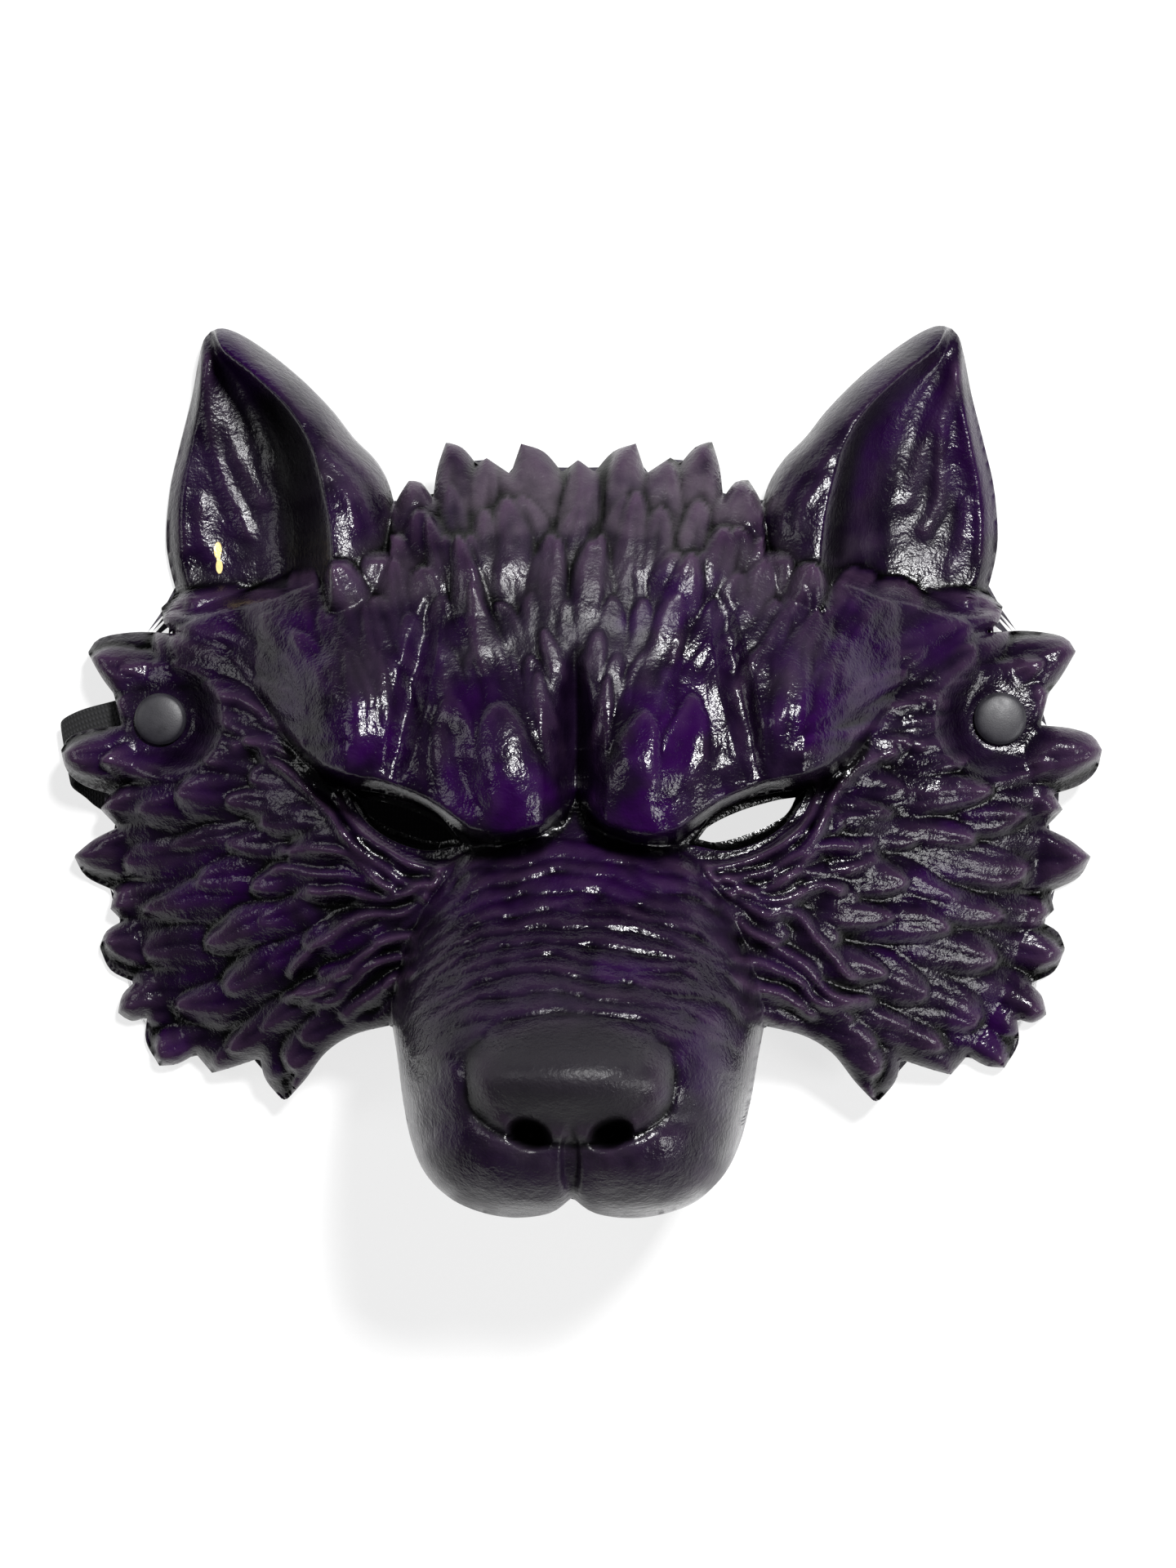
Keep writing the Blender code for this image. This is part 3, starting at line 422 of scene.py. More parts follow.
# %% Sections of an ear
# up, outer, rim, inner, outer_height, cup_height, rim_height, inner_height
EAR_SECTIONS = (
    (0.30, 0.99, 0.64, 0.42, 0.00, 0.06, 0.30, 0.28),
    (0.43, 0.99, 0.600, 0.430, 0.00, 0.05, 0.37, 0.31),
    (0.50, 1.01, 0.597, 0.437, 0.00, 0.04, 0.37, 0.29),
    (0.58, 1.018, 0.600, 0.442, 0.00, 0.035, 0.36, 0.26),
    (0.66, 1.012, 0.612, 0.445, 0.00, 0.035, 0.35, 0.24),
    (0.72, 1.004, 0.627, 0.470, 0.00, 0.04, 0.335, 0.22),
    (0.80, 0.985, 0.650, 0.535, 0.00, 0.045, 0.31, 0.20),
    (0.90, 0.960, 0.715, 0.620, 0.005, 0.05, 0.27, 0.17),
    (0.98, 0.945, 0.800, 0.700, 0.015, 0.06, 0.22, 0.14),
    (1.04, 0.935, 0.875, 0.780, 0.03, 0.07, 0.17, 0.11),
    (1.10, 0.920, 0.900, 0.860, 0.04, 0.06, 0.12, 0.09),
)
CUP_WALL = 0.16
CUP_LIP = 0.90
EAR_START = 0.36


def ear_height():
    """Back: one minus a falling square, up to the rim. Cup: the rim times a bell curve over a shallow bowl."""
    outer, rim, inner, outer_height, cup_height, rim_height, inner_height = [
        along(EAR_SECTIONS, UP, number) for number in range(1, 8)
    ]
    back = np.clip((MIRRORED - inner) / (rim - inner), 0.0, 1.0)
    cup = np.clip((MIRRORED - rim) / (outer - rim), 0.0, 1.0)
    rising = inner_height + (rim_height - inner_height) * (1.0 - (1.0 - back) ** 2)
    bowl = cup_height * (1.0 - 0.35 * np.sin(np.pi * cup))
    falling = bowl + (rim_height - cup_height) * np.exp(-((cup / CUP_WALL) ** 1.6))
    falling = falling + (outer_height - cup_height) * smooth_step((cup - CUP_LIP) / (1.0 - CUP_LIP))
    height = np.where(MIRRORED < rim, rising, falling)
    return height - 4.0 * np.clip(inner - MIRRORED, 0.0, 0.4) - 4.0 * np.clip(EAR_START - UP, 0.0, 0.4)


print("ear rim", round(float(ear_height().max()) * 100, 1), "mm high")

# %% [markdown]
# Brow, eye sockets and nose
#
# The brow hangs over the eyes as a rounded shelf, so it is a step along a line with a slow fade behind it.
# Dents and swellings such as the eye sockets, the nose pad and the nostrils are ovals that fade out smoothly.
# Adding them up is the same as pressing a ball tool into clay, only repeatable.

# %% The form that everything else sits on
# across, up, proud
BROW = (
    (0.00, -0.050, 0.02),
    (0.04, -0.105, 0.07),
    (0.08, -0.140, 0.12),
    (0.14, -0.160, 0.14),
    (0.20, -0.165, 0.15),
    (0.26, -0.148, 0.14),
    (0.31, -0.112, 0.13),
    (0.36, -0.078, 0.12),
    (0.46, -0.036, 0.13),
    (0.56, -0.018, 0.15),
    (0.62, 0.004, 0.13),
    (0.67, 0.045, 0.10),
    (0.72, 0.110, 0.055),
    (0.79, 0.200, 0.00),
    (1.40, 0.200, 0.00),
)
BROW_FRONT = 0.036
BROW_FADE = 0.52
SOCKET_DENT = -0.1
# across, up, half_across, half_up, turn_degrees, height
OVALS = (
    (0.430, -0.125, 0.240, 0.080, 24, -0.110),
    (0.000, -0.170, 0.180, 0.045, 0, -0.080),
    (0.000, 0.060, 0.045, 0.260, 0, -0.070),
    (0.400, 0.200, 0.045, 0.260, 12, -0.045),
    (0.570, 0.150, 0.150, 0.220, -8, 0.035),
    (0.170, 0.050, 0.120, 0.260, -22, 0.040),
    (0.260, 0.520, 0.160, 0.140, -20, 0.030),
    (0.640, -0.130, 0.200, 0.070, 20, 0.030),
    (1.150, 0.060, 0.420, 0.310, 0, 0.105),
)
NOSE_OVALS = (
    (0.000, -0.740, 0.260, 0.130, 0, 0.045),
    (0.000, -0.970, 0.030, 0.120, 0, -0.040),
    (0.200, -0.960, 0.200, 0.130, 0, 0.030),
)
NOSTRIL = (0.100, -0.885, 0.062, 0.040, 18, -0.130)


def brow_height():
    """A quick smooth step over the brow's lower line, times a slow smooth fade up the forehead."""
    over = UP - straight(BROW, MIRRORED, 1)
    rise = smooth_step(over / BROW_FRONT + 0.5)
    return straight(BROW, MIRRORED, 2) * rise * (1.0 - smooth_step((over - BROW_FRONT) / BROW_FADE))


def form_height(raised):
    """Highest of face, muzzle and ears, as a share of the depth. Without raised, brow and nose are left out."""
    face = face_height() + sum(bump_at(row) for row in OVALS if raised or row[5] > SOCKET_DENT)
    muzzle = muzzle_height()
    if raised:
        face = face + brow_height()
        muzzle = muzzle + sum(bump_at(row) for row in NOSE_OVALS)
    muzzle = muzzle + bump_at(NOSTRIL)
    height = np.maximum(np.maximum(face, muzzle), ear_height())
    beside = (UP < CHEEK_END) & (MIRRORED < along(MUZZLE_SECTIONS, UP, 1) + 0.03)
    height = np.where(beside, np.maximum(muzzle, along(MUZZLE_SECTIONS, UP, 3)), height)
    return np.maximum(height, 0.0)


form = form_height(True) * DEPTH
plain_form = form_height(False) * DEPTH
print("form is", round(float(form.max()) * 1000, 1), "mm high over the rim plane")

# %% [markdown]
# The inside of the wall
#
# A moulding has an even wall, so its back is its front moved in by the wall's thickness. That is a ball rolled
# under the surface: at each place the back is as low as the lowest ball that touches the form above it. Solidify
# would do it for a finished mesh, but it would cross itself in the steep ear and muzzle.

# %% Back of the moulding
BALL = int(FOAM_WALL / (PITCH * HALF_FACE))


def moved_in(surface):
    """Lowest of all copies of the surface, each shifted by a step of the ball and dropped by its height."""
    lowest = surface - FOAM_WALL
    for down in range(-BALL, BALL + 1):
        for sideways in range(-BALL, BALL + 1):
            away = math.hypot(down, sideways) * PITCH * HALF_FACE
            if away < FOAM_WALL:
                moved = np.roll(surface, (down, sideways), axis=(0, 1))
                lowest = np.minimum(lowest, moved - math.sqrt(FOAM_WALL**2 - away**2))
    return np.maximum(lowest, 0.0)


back_form = moved_in(plain_form + FOAM_WALL)
print("back is up to", round(float(back_form.max()) * 1000, 1), "mm over the rim plane")

# %% [markdown]
# The flow of the fur
#
# Moulded fur reads as fur when its locks follow a flow. Here it starts over the brow and beside the muzzle and
# fans out to the tips on the outline. A few guide lines carry it, from the middle of the forehead round to the
# lowest tuft of the cheek, and each lock lies along a guide or between two of them.

# %% Guide lines in millimetres
# root_across, root_up, tip_across, tip_up
GUIDES = np.array([
    (0.0, 18.0, 0.0, 76.5),
    (6.0, 16.0, 14.0, 80.5),
    (12.0, 16.0, 22.5, 77.0),
    (18.0, 18.0, 32.5, 81.0),
    (27.0, 20.0, 41.5, 71.5),
    (37.0, 24.0, 47.0, 57.0),
    (47.0, 24.0, 58.0, 51.0),
    (57.0, 22.0, 69.0, 50.0),
    (65.0, 20.0, 79.0, 45.0),
    (69.0, 17.0, 103.0, 40.5),
    (71.0, 13.0, 121.0, 30.0),
    (70.0, 8.0, 113.5, 18.0),
    (67.0, 2.0, 127.5, 5.5),
    (62.0, -6.0, 117.8, -9.0),
    (56.0, -14.0, 124.5, -20.5),
    (50.0, -22.0, 115.5, -33.5),
    (45.0, -30.0, 118.2, -43.0),
    (42.0, -38.0, 113.7, -59.0),
    (42.0, -45.0, 103.5, -72.0),
    (42.0, -52.0, 90.5, -73.7),
    (43.0, -58.0, 72.5, -80.8),
])


def on_guides(guide, reach):
    """The place at a share of the way from root to tip, between the two nearest guides."""
    numbers = np.arange(len(GUIDES))
    root_across, root_up, tip_across, tip_up = [np.interp(guide, numbers, GUIDES[:, k]) for k in range(4)]
    return np.array([root_across + (tip_across - root_across) * reach, root_up + (tip_up - root_up) * reach])


guide_runs = np.hypot(*(GUIDES[:, 2:] - GUIDES[:, :2]).T)
print(len(GUIDES), "guides, the longest", round(float(guide_runs.max())), "mm")

# %% [markdown]
# One lock of fur
#
# A lock is a leaf. It starts level with the skin, widens, rises to its tip and drops off there, with a round
# back and a few grooves that run together at the tip. Locks are laid like roof tiles: at each place the highest
# one shows. Real hair or curves would be far too fine, because the mould only has locks.

# %% Laying locks into the relief
relief = np.zeros_like(ACROSS)
warp_across = ACROSS + 0.010 * mottle(8.0) + 0.003 * mottle(3.0)
warp_up = UP + 0.010 * mottle(8.0) + 0.003 * mottle(3.0)


def window(points, margin):
    """The part of the raster that holds some places with a margin, as two slices."""
    low = (np.min(points, axis=0) - margin) / 100
    high = (np.max(points, axis=0) + margin) / 100
    columns = np.searchsorted(ACROSS_AXIS, (low[0], high[0]))
    rows = np.searchsorted(UP_AXIS, (low[1], high[1]))
    return slice(rows[0], rows[1]), slice(columns[0], columns[1])


def lay_lock(root, tip, width, height, bend=0.0, strands=1.5, groove=0.45):
    """Height times the root of one minus the squared share of the half width, times a steady rise to the tip,
    less a cosine groove for each strand. All of it is in millimetres."""
    root = np.asarray(root, float)
    run = np.asarray(tip, float) - root
    length = float(np.hypot(*run))
    part = window([root, root + run], width + abs(bend) * length)
    right = warp_across[part] * 100 - root[0]
    over = warp_up[part] * 100 - root[1]
    forward = (right * run[0] + over * run[1]) / length**2
    share = np.clip(forward, 0.0, 1.0)
    side = (over * run[0] - right * run[1]) / length - bend * length * share * (1.0 - share)
    half = 0.5 * width * (1.0 - share) ** 0.48 * (0.75 + 0.9 * share) + 1e-6
    place = side / half
    body = np.sqrt(np.clip(1.0 - place**2, 0.0, 1.0))
    ribs = (0.5 + 0.5 * np.cos(2 * np.pi * strands * (place + 0.13))) ** 2
    lock = height * body**0.8 * share**0.9 - groove * ribs * body * smooth_step(3 * share)
    lock = np.where((forward > 0.0) & (forward < 1.0), lock, 0.0)
    relief[part] = np.maximum(relief[part], lock)


# reach, first_guide, last_guide, step, length, fullness, height, strands, looseness
RINGS = (
    (0.13, 9.0, 20.0, 1.00, 22, 1.05, 2.8, 0.5, 0.8),
    (0.30, 9.4, 20.0, 1.05, 26, 1.00, 3.8, 1.0, 1.0),
    (0.47, 9.0, 20.0, 1.00, 30, 1.00, 4.8, 1.0, 1.0),
    (0.65, 9.5, 20.0, 1.10, 34, 1.00, 5.6, 1.5, 1.0),
    (0.83, 9.0, 20.0, 1.05, 34, 0.98, 6.0, 1.5, 1.0),
    (1.00, 9.0, 20.0, 1.00, 40, 1.20, 5.4, 1.5, 0.0),
)


def ring_of_locks(side, ring):
    """One lock for each step of the ring, as wide as its guides are apart, with a little chance in each."""
    reach, first, last, step, length, fullness, height, strands, loose = ring
    for guide in np.arange(first, last + 0.01, step):
        draw = chance.uniform(-1.0, 1.0, 6)
        guide = np.clip(guide + 0.16 * loose * step * draw[0], 0, len(GUIDES) - 1)
        end = reach + 0.025 * loose * draw[1]
        apart = np.linalg.norm(on_guides(guide + 0.5, end) - on_guides(guide - 0.5, end))
        span = np.linalg.norm(on_guides(guide, 1.0) - on_guides(guide, 0.0))
        tip = on_guides(guide, end)
        root = on_guides(guide, end - length * (1 + 0.2 * draw[2]) / span)
        width = max(apart * step * fullness * (1.25 + 0.2 * draw[3]), 3.2)
        mirror = np.array([side, 1.0])
        proud = height * (1 + 0.15 * draw[4])
        lay_lock(root * mirror, tip * mirror, width, proud, 0.14 * draw[5] * loose, strands)


for side in (-1.0, 1.0):
    for ring in RINGS:
        ring_of_locks(side, ring)
print("cheek fur up to", round(float(relief.max()), 2), "mm over the skin")

# %% [markdown]
# Forehead and brow
#
# The forehead first gets rings of locks along its guides, like the rest of the fur. Its blunt tongues and the
# broad low locks of the brow follow no even ring, so a short table names each of them. The table is mirrored,
# and chance moves every lock a little, so the two sides aren't the same.

# %% Forehead and brow locks
FOREHEAD_RINGS = (
    (0.20, 0.4, 8.0, 1.00, 20, 1.00, 2.0, 0.5, 0.6),
    (0.42, 0.0, 8.0, 1.00, 24, 1.05, 3.0, 0.5, 0.6),
    (0.62, 0.5, 8.2, 1.00, 24, 1.05, 3.8, 1.0, 0.6),
    (0.80, 0.0, 8.4, 1.00, 24, 1.05, 4.2, 1.0, 0.6),
    (1.00, 0.0, 8.6, 1.00, 26, 1.15, 4.6, 1.0, 0.0),
)
# root_across, root_up, tip_across, tip_up, width, height, strands
LOCKS = (
    (-4.0, 26.0, -4.0, 58.5, 10.0, 5.6, 0.5),
    (1.5, 24.0, 5.5, 58.5, 10.0, 5.4, 0.5),
    (12.0, 38.0, 15.0, 67.5, 12.0, 5.8, 1.0),
    (22.0, 22.0, 27.0, 55.0, 14.0, 6.0, 1.0),
    (30.0, 32.0, 35.0, 60.0, 11.0, 5.2, 1.0),
    (39.0, 24.0, 44.0, 51.5, 10.0, 4.6, 1.0),
    (17.0, 12.0, 23.5, 43.0, 12.0, 5.0, 0.5),
    (52.0, 22.0, 57.5, 50.5, 10.0, 4.8, 1.0),
    (60.0, 24.0, 66.5, 52.0, 10.0, 4.8, 1.0),
    (65.0, 24.0, 76.5, 46.0, 10.0, 4.6, 1.0),
    (72.0, 22.0, 88.0, 38.0, 10.0, 4.4, 1.0),
    (4.0, -2.0, 8.5, 24.0, 6.5, 2.6, 0.5),
    (2.0, 10.0, 6.5, 36.0, 7.5, 3.4, 0.5),
    (14.0, -14.0, 19.0, 16.0, 17.0, 1.6, 0.5),
    (26.0, -14.0, 31.0, 18.0, 12.0, 1.5, 0.5),
    (43.0, 2.0, 47.0, 31.0, 12.0, 2.6, 1.0),
    (52.0, 2.0, 56.5, 33.0, 13.0, 2.8, 1.0),
    (61.0, 3.0, 66.0, 33.0, 12.0, 2.8, 1.0),
    (46.0, 14.0, 51.0, 41.0, 10.0, 3.8, 1.0),
    (56.0, 14.0, 62.5, 42.0, 10.0, 3.8, 1.0),
    (64.0, 14.0, 72.0, 39.0, 10.0, 3.8, 1.0),
)


def jittered_locks(side):
    """Each row of the table on one side of the face, moved a little by chance."""
    for root_across, root_up, tip_across, tip_up, width, height, strands in LOCKS:
        draw = chance.uniform(-1.0, 1.0, 6)
        root = np.array([root_across + 0.6 * draw[0], root_up + 1.2 * draw[1]]) * (side, 1.0)
        tip = np.array([tip_across + 0.6 * draw[2], tip_up + 1.2 * draw[3]]) * (side, 1.0)
        lay_lock(root, tip, width * (1 + 0.1 * draw[4]), height, 0.10 * draw[5], strands, 0.35)


for side in (-1.0, 1.0):
    for ring in FOREHEAD_RINGS:
        ring_of_locks(side, ring)
    jittered_locks(side)
print("forehead fur done:", 2 * len(LOCKS), "named locks")

# %% [markdown]
# Folds round the eyes
#
# From the inner corner of each eye long sinuous folds run down and outwards over the cheek, and two lids ring
# the eye. A fold is a ridge along a line: its height falls off as a bell curve with the distance from the line.
# The distance to a smooth line is quick to work out on the raster, one short span at a time.

# %% Folds as ridges along lines
# height, width, then places along the fold in millimetres
FOLDS = (
    (2.3, 1.4, (24, -19.5), (32, -22.5), (41, -22.0), (50, -17.5), (57, -9.5), (60, -3)),
    (2.1, 1.4, (26, -23.0), (36, -26.0), (46, -24.0), (56, -17.0), (63, -8), (69, 0), (80, 6)),
    (2.0, 1.4, (38, -29.0), (47, -28.0), (57, -21.5), (66, -20.0), (74, -20.0)),
    (2.4, 1.4, (26, -21.5), (30, -25.0), (33, -32.0), (39, -38.0),
     (47, -41.5), (56, -48.0), (63, -55), (73, -57)),
    (2.2, 1.3, (33, -24.0), (37, -30.0), (43, -34.0), (53, -35.0), (58, -39.0), (64, -44), (70, -51)),
    (2.0, 1.3, (37, -25.0), (42, -30.5), (50, -31.0), (58, -29.0), (66, -30.0)),
    (2.2, 1.4, (31, -38.0), (37, -44.5), (46, -46.5), (54, -50.5), (60, -57), (68, -58)),
    (2.0, 1.4, (34, -47.0), (42, -51.5), (50, -55.0), (58, -62.0)),
    (1.6, 1.4, (46, -26.5), (56, -26.5), (65, -25.5), (76, -22.5)),
    (1.4, 1.6, (68, 8.0), (76, 12.5), (84, 17.0), (92, 17)),
    (1.4, 1.6, (66, 1.0), (73, 6.0), (80, 8.0), (88, 7)),
)


def line_distance(line, part):
    """The least distance in millimetres from the raster to each short span of a line."""
    across, up = warp_across[part] * 100, warp_up[part] * 100
    best = np.full(across.shape, 1e3)
    for start, end in zip(line, line[1:]):
        run = end - start
        share = np.clip(((across - start[0]) * run[0] + (up - start[1]) * run[1]) / (run @ run), 0.0, 1.0)
        best = np.minimum(best, np.hypot(across - start[0] - share * run[0], up - start[1] - share * run[1]))
    return best


def lay_fold(height, width, places, level=None):
    """Height times a bell curve of the distance, added to the relief."""
    line = curve_through(np.asarray(places, float) / 100, 0.0020) * 100
    part = window(line, 5 * width)
    relief[part] += height * np.exp(-((line_distance(line, part) / width) ** 2))


for side in (-1.0, 1.0):
    for height, width, *places in FOLDS:
        shaken = np.array(places, float) + chance.uniform(-0.8, 0.8, (len(places), 2))
        lay_fold(height, width, shaken * (side, 1.0))
print(2 * len(FOLDS), "folds")

# %% [markdown]
# Wrinkles on the muzzle
#
# The bridge of the nose is pushed up into rows of wavy wrinkles that bend down at the sides, lower towards the
# eyes and gone at the nose pad. Each row is a line of lenses, long ridges that narrow to both ends and are
# steeper on their lower side. They overlap along the row and from row to row, and at each place the highest
# one shows, so the creases between them come by themselves.

# %% Wrinkles as overlapping lenses
# up and depth of the wrinkles in millimetres
WRINKLES = (
    (-0.70, 0.0),
    (-0.62, 1.1),
    (-0.52, 2.0),
    (-0.40, 2.6),
    (-0.28, 2.8),
    (-0.20, 2.2),
    (-0.15, 0.9),
    (-0.12, 0.0),
)
WRINKLE_ROWS = 11
WRINKLE_APART = 4.1
WRINKLE_TOP = -20.0
LENS_LENGTH = 26
LENS_WIDTH = 5.6
LENS_APART = 9.5


def arc_up(right, row):
    """How far up a row lies: it drops by a square near the middle and by a sixth power beside it."""
    level = WRINKLE_TOP - WRINKLE_APART * row
    return level - 2.6 * (right / 25) ** 2 - 5.0 * np.clip(abs(right) / 37, 0, 1.3) ** 6


def lay_lens(middle, turn, length, width, height):
    """Height times a ridge that is steeper on its lower side, in a lens that narrows to both of its ends."""
    part = window([middle], length)
    right = warp_across[part] * 100 - middle[0]
    over = warp_up[part] * 100 - middle[1]
    lengthwise = (right * math.cos(turn) + over * math.sin(turn)) / (0.5 * length)
    crosswise = (over * math.cos(turn) - right * math.sin(turn)) / (0.5 * width)
    narrow = np.sqrt(np.clip(1.0 - lengthwise**2, 1e-6, 1.0))
    place = crosswise / narrow
    ridge = np.sqrt(np.clip(1.0 - place**2, 0.0, 1.0)) * (1.0 - 0.3 * place)
    relief[part] = np.maximum(relief[part], height * ridge * narrow**0.7)


past_muzzle = smooth_step((MIRRORED - 0.80 * along(MUZZLE_SECTIONS, UP, 1)) / 0.06)
above_muzzle = smooth_step((UP + 0.13) / 0.05)
relief *= np.maximum(past_muzzle, above_muzzle)
for row in range(WRINKLE_ROWS):
    for right in np.arange(-36.0 - 4.0 * (row % 2), 40.0, LENS_APART):
        draw = chance.uniform(-1.0, 1.0, 5)
        right = right + 2.5 * draw[0]
        slope = (arc_up(right + 1.0, row) - arc_up(right - 1.0, row)) / 2.0
        middle = (right, arc_up(right, row) + 0.7 * draw[1])
        depth = float(straight(WRINKLES, middle[1] / 100, 1))
        turn = math.atan(slope) + 0.10 * draw[2]
        lay_lens(middle, turn, LENS_LENGTH + 6 * draw[3], LENS_WIDTH + 0.8 * draw[4], depth)
print("wrinkles are in")

# %% [markdown]
# Soft parts without fur
#
# The ears are bare leather with long soft folds that fan out from the tip, and the sides of the nose are
# smooth with a few shallow swellings. So the locks are faded out on the ears before their folds are added.

# %% Ears and lower muzzle
EAR_FOLDS = (
    (0.9, 2.8, (91, 101), (86, 86), (77, 66)),
    (1.0, 2.2, (92, 99), (90, 84), (85, 68), (80, 56)),
    (0.8, 2.4, (93, 100), (97, 84), (98.5, 66), (96, 52)),
    (0.6, 2.2, (93, 66), (92, 56), (87, 48)),
    (0.5, 2.4, (72, 76), (70, 66), (71, 54)),
    (0.7, 1.5, (47, 62), (52, 73), (60, 84)),
    (0.6, 1.5, (50, 60), (55, 71), (62, 81)),
    (0.6, 1.5, (54, 60), (58, 69), (62, 76)),
    (0.7, 2.0, (66, 88), (76, 97), (86, 104)),
)

# The bare skin of an ear begins at this height for each place across.
EAR_SKIN_ACROSS = (0.42, 0.46, 0.60, 0.80, 1.0)
EAR_SKIN_UP = (1.2, 0.52, 0.50, 0.45, 0.42)
ear_skin = smooth_step((UP - np.interp(MIRRORED, EAR_SKIN_ACROSS, EAR_SKIN_UP)) / 0.03)
relief *= 1.0 - ear_skin
for side in (-1.0, 1.0):
    for height, width, *places in EAR_FOLDS:
        shaken = np.array(places, float) + chance.uniform(-0.8, 0.8, (len(places), 2))
        lay_fold(height, width, shaken * (side, 1.0))

# The nose pad is a blunt oval: half its width, half its height, its middle and how blunt it is.
NOSE_PAD_ACROSS = 0.240
NOSE_PAD_HALF_UP = 0.150
NOSE_PAD_UP = -0.752
NOSE_PAD_BLUNT = 2.5
pad_across = (MIRRORED / NOSE_PAD_ACROSS) ** NOSE_PAD_BLUNT
pad_up = (np.abs(UP - NOSE_PAD_UP) / NOSE_PAD_HALF_UP) ** NOSE_PAD_BLUNT
pad_reach = (pad_across + pad_up) ** (1 / NOSE_PAD_BLUNT)
nose_pad = smooth_step((1.10 - pad_reach) / 0.26)
relief += (0.25 * mottle(3.0) + 0.12 * mottle(1.4) * (1 - nose_pad)) * (1.0 - 0.5 * ear_skin)
relief *= 1.0 - 0.85 * nose_pad
pad_sides = smooth_step((-0.66 - UP) / 0.12)
relief += (1.0 + 0.8 * pad_sides) * nose_pad
relief -= (0.5 + 0.5 * pad_sides) * np.exp(-(((pad_reach - 1.06) / 0.06) ** 2))
snap_away = np.hypot((MIRRORED - SNAP_ACROSS) * HALF_FACE, (UP - SNAP_UP) * FACE_RISE) / MM
relief *= 0.25 + 0.75 * smooth_step((snap_away - 8.0) / 8.0)
print("relief runs from", round(float(relief.min()), 2), "to", round(float(relief.max()), 2), "mm")

# %% [markdown]
# Front and back as one skin
#
# The front is form plus relief. Near an edge it rolls down, and round each snap it is pressed flat. It never
# comes closer to the back than a thin wall, so the moulding stays whole in its deepest creases.

# %% Height of the front at any place
SNAP_FLAT = 0.0064
SNAP_FADE = 0.0090
PAD_FRONT = PAD_TOP + SNAP_RAISED


def snap_pad(places):
    """1 within a flat round each snap, 0 outside it, with a smooth step between."""
    away = np.hypot((np.abs(places[:, 0]) - SNAP_ACROSS) * HALF_FACE, (places[:, 1] - SNAP_UP) * FACE_RISE)
    return 1.0 - smooth_step((away - SNAP_FLAT) / SNAP_FADE)


def read(field, places):
    """The raster's value at places, with straight lines between its four nearest points."""
    column = (places[:, 0] - ACROSS_AXIS[0]) / PITCH
    row = (places[:, 1] - UP_AXIS[0]) / PITCH
    left = np.clip(column.astype(int), 0, len(ACROSS_AXIS) - 2)
    low = np.clip(row.astype(int), 0, len(UP_AXIS) - 2)
    right_share = column - left
    up_share = row - low
    lower = field[low, left] * (1 - right_share) + field[low, left + 1] * right_share
    upper = field[low + 1, left] * (1 - right_share) + field[low + 1, left + 1] * right_share
    return lower * (1 - up_share) + upper * up_share


def nearest_edge(places, reach):
    """Distance in metres to the nearest edge within reach and the place on it, span by span of each edge."""
    best = np.full(len(places), reach)
    found = places.copy()
    points = places * SHARES
    for edge in EDGES:
        closed = np.concatenate([edge, edge[:1]]) * SHARES
        for start, end in zip(closed, closed[1:]):
            near = np.flatnonzero(np.abs(points - (start + end) / 2).max(axis=1) < reach + CURVE_STEP)
            run = end - start
            offset = points[near] - start
            share = np.clip(offset @ run / max(float(run @ run), 1e-12), 0.0, 1.0)[:, None]
            away = np.linalg.norm(offset - share * run, axis=1)
            closer = away < best[near]
            best[near[closer]] = away[closer]
            found[near[closer]] = ((start + share * run) / SHARES)[closer]
    return best, found


# Shares of the wall: what rolls off towards the edge, what is kept there, and a last drop at the lip.
EDGE_ROLL = 0.55
EDGE_KEPT = 0.45
EDGE_LIP = 0.25


def front_height(places, away):
    """Form plus relief, rolled down by a square near the edge, at least a thin wall thick, flat at snaps."""
    near = np.clip(1.0 - away / EDGE_ROUND, 0.0, 1.0)
    height = read(form, places) + read(relief, places) * MM
    height = height + EDGE_ROLL * FOAM_WALL * (1 - near**2) + EDGE_KEPT * FOAM_WALL
    least = read(back_form, places) + THIN_WALL * (1 - 0.3 * near)
    height = np.maximum(height - EDGE_LIP * FOAM_WALL * near**4, least)
    pad = snap_pad(places)
    return height * (1 - pad) + PAD_FRONT * pad


def back_height(places):
    """The back's form, with a level place under each snap."""
    pad = snap_pad(places)
    return read(back_form, places) * (1 - pad) + (PAD_TOP - FOAM_WALL) * pad


# %% [markdown]
# From heights to a mesh
#
# The grid has more columns where the form is steep, at the sides of the muzzle and the folds of the ears, and
# more rows where the fur is fine. A plain square grid would leave the edge in steps like a staircase, so its
# first points outside the outline are moved onto the outline.

# %% The grid of places
# up, then how far across a quarter, a half, three quarters and all of the columns reach
COLUMN_PLAN = (
    (-1.12, 0.22, 0.36, 0.46, 0.72),
    (-0.86, 0.22, 0.38, 0.47, 0.72),
    (-0.80, 0.24, 0.42, 0.72, 1.20),
    (-0.60, 0.26, 0.48, 0.84, 1.20),
    (-0.20, 0.28, 0.52, 0.90, 1.30),
    (0.00, 0.32, 0.60, 0.94, 1.32),
    (0.36, 0.32, 0.60, 0.94, 1.28),
    (0.46, 0.30, 0.56, 0.72, 1.06),
    (0.72, 0.34, 0.60, 0.75, 1.06),
    (0.90, 0.40, 0.70, 0.82, 1.02),
    (1.10, 0.50, 0.84, 0.92, 0.98),
)
# first_up, last_up, step
ROW_PLAN = (
    (-1.120, -0.640, 0.0088),
    (-0.640, 0.420, 0.0071),
    (0.420, 0.860, 0.0088),
    (0.860, 1.110, 0.0135),
)
COLUMNS = 196


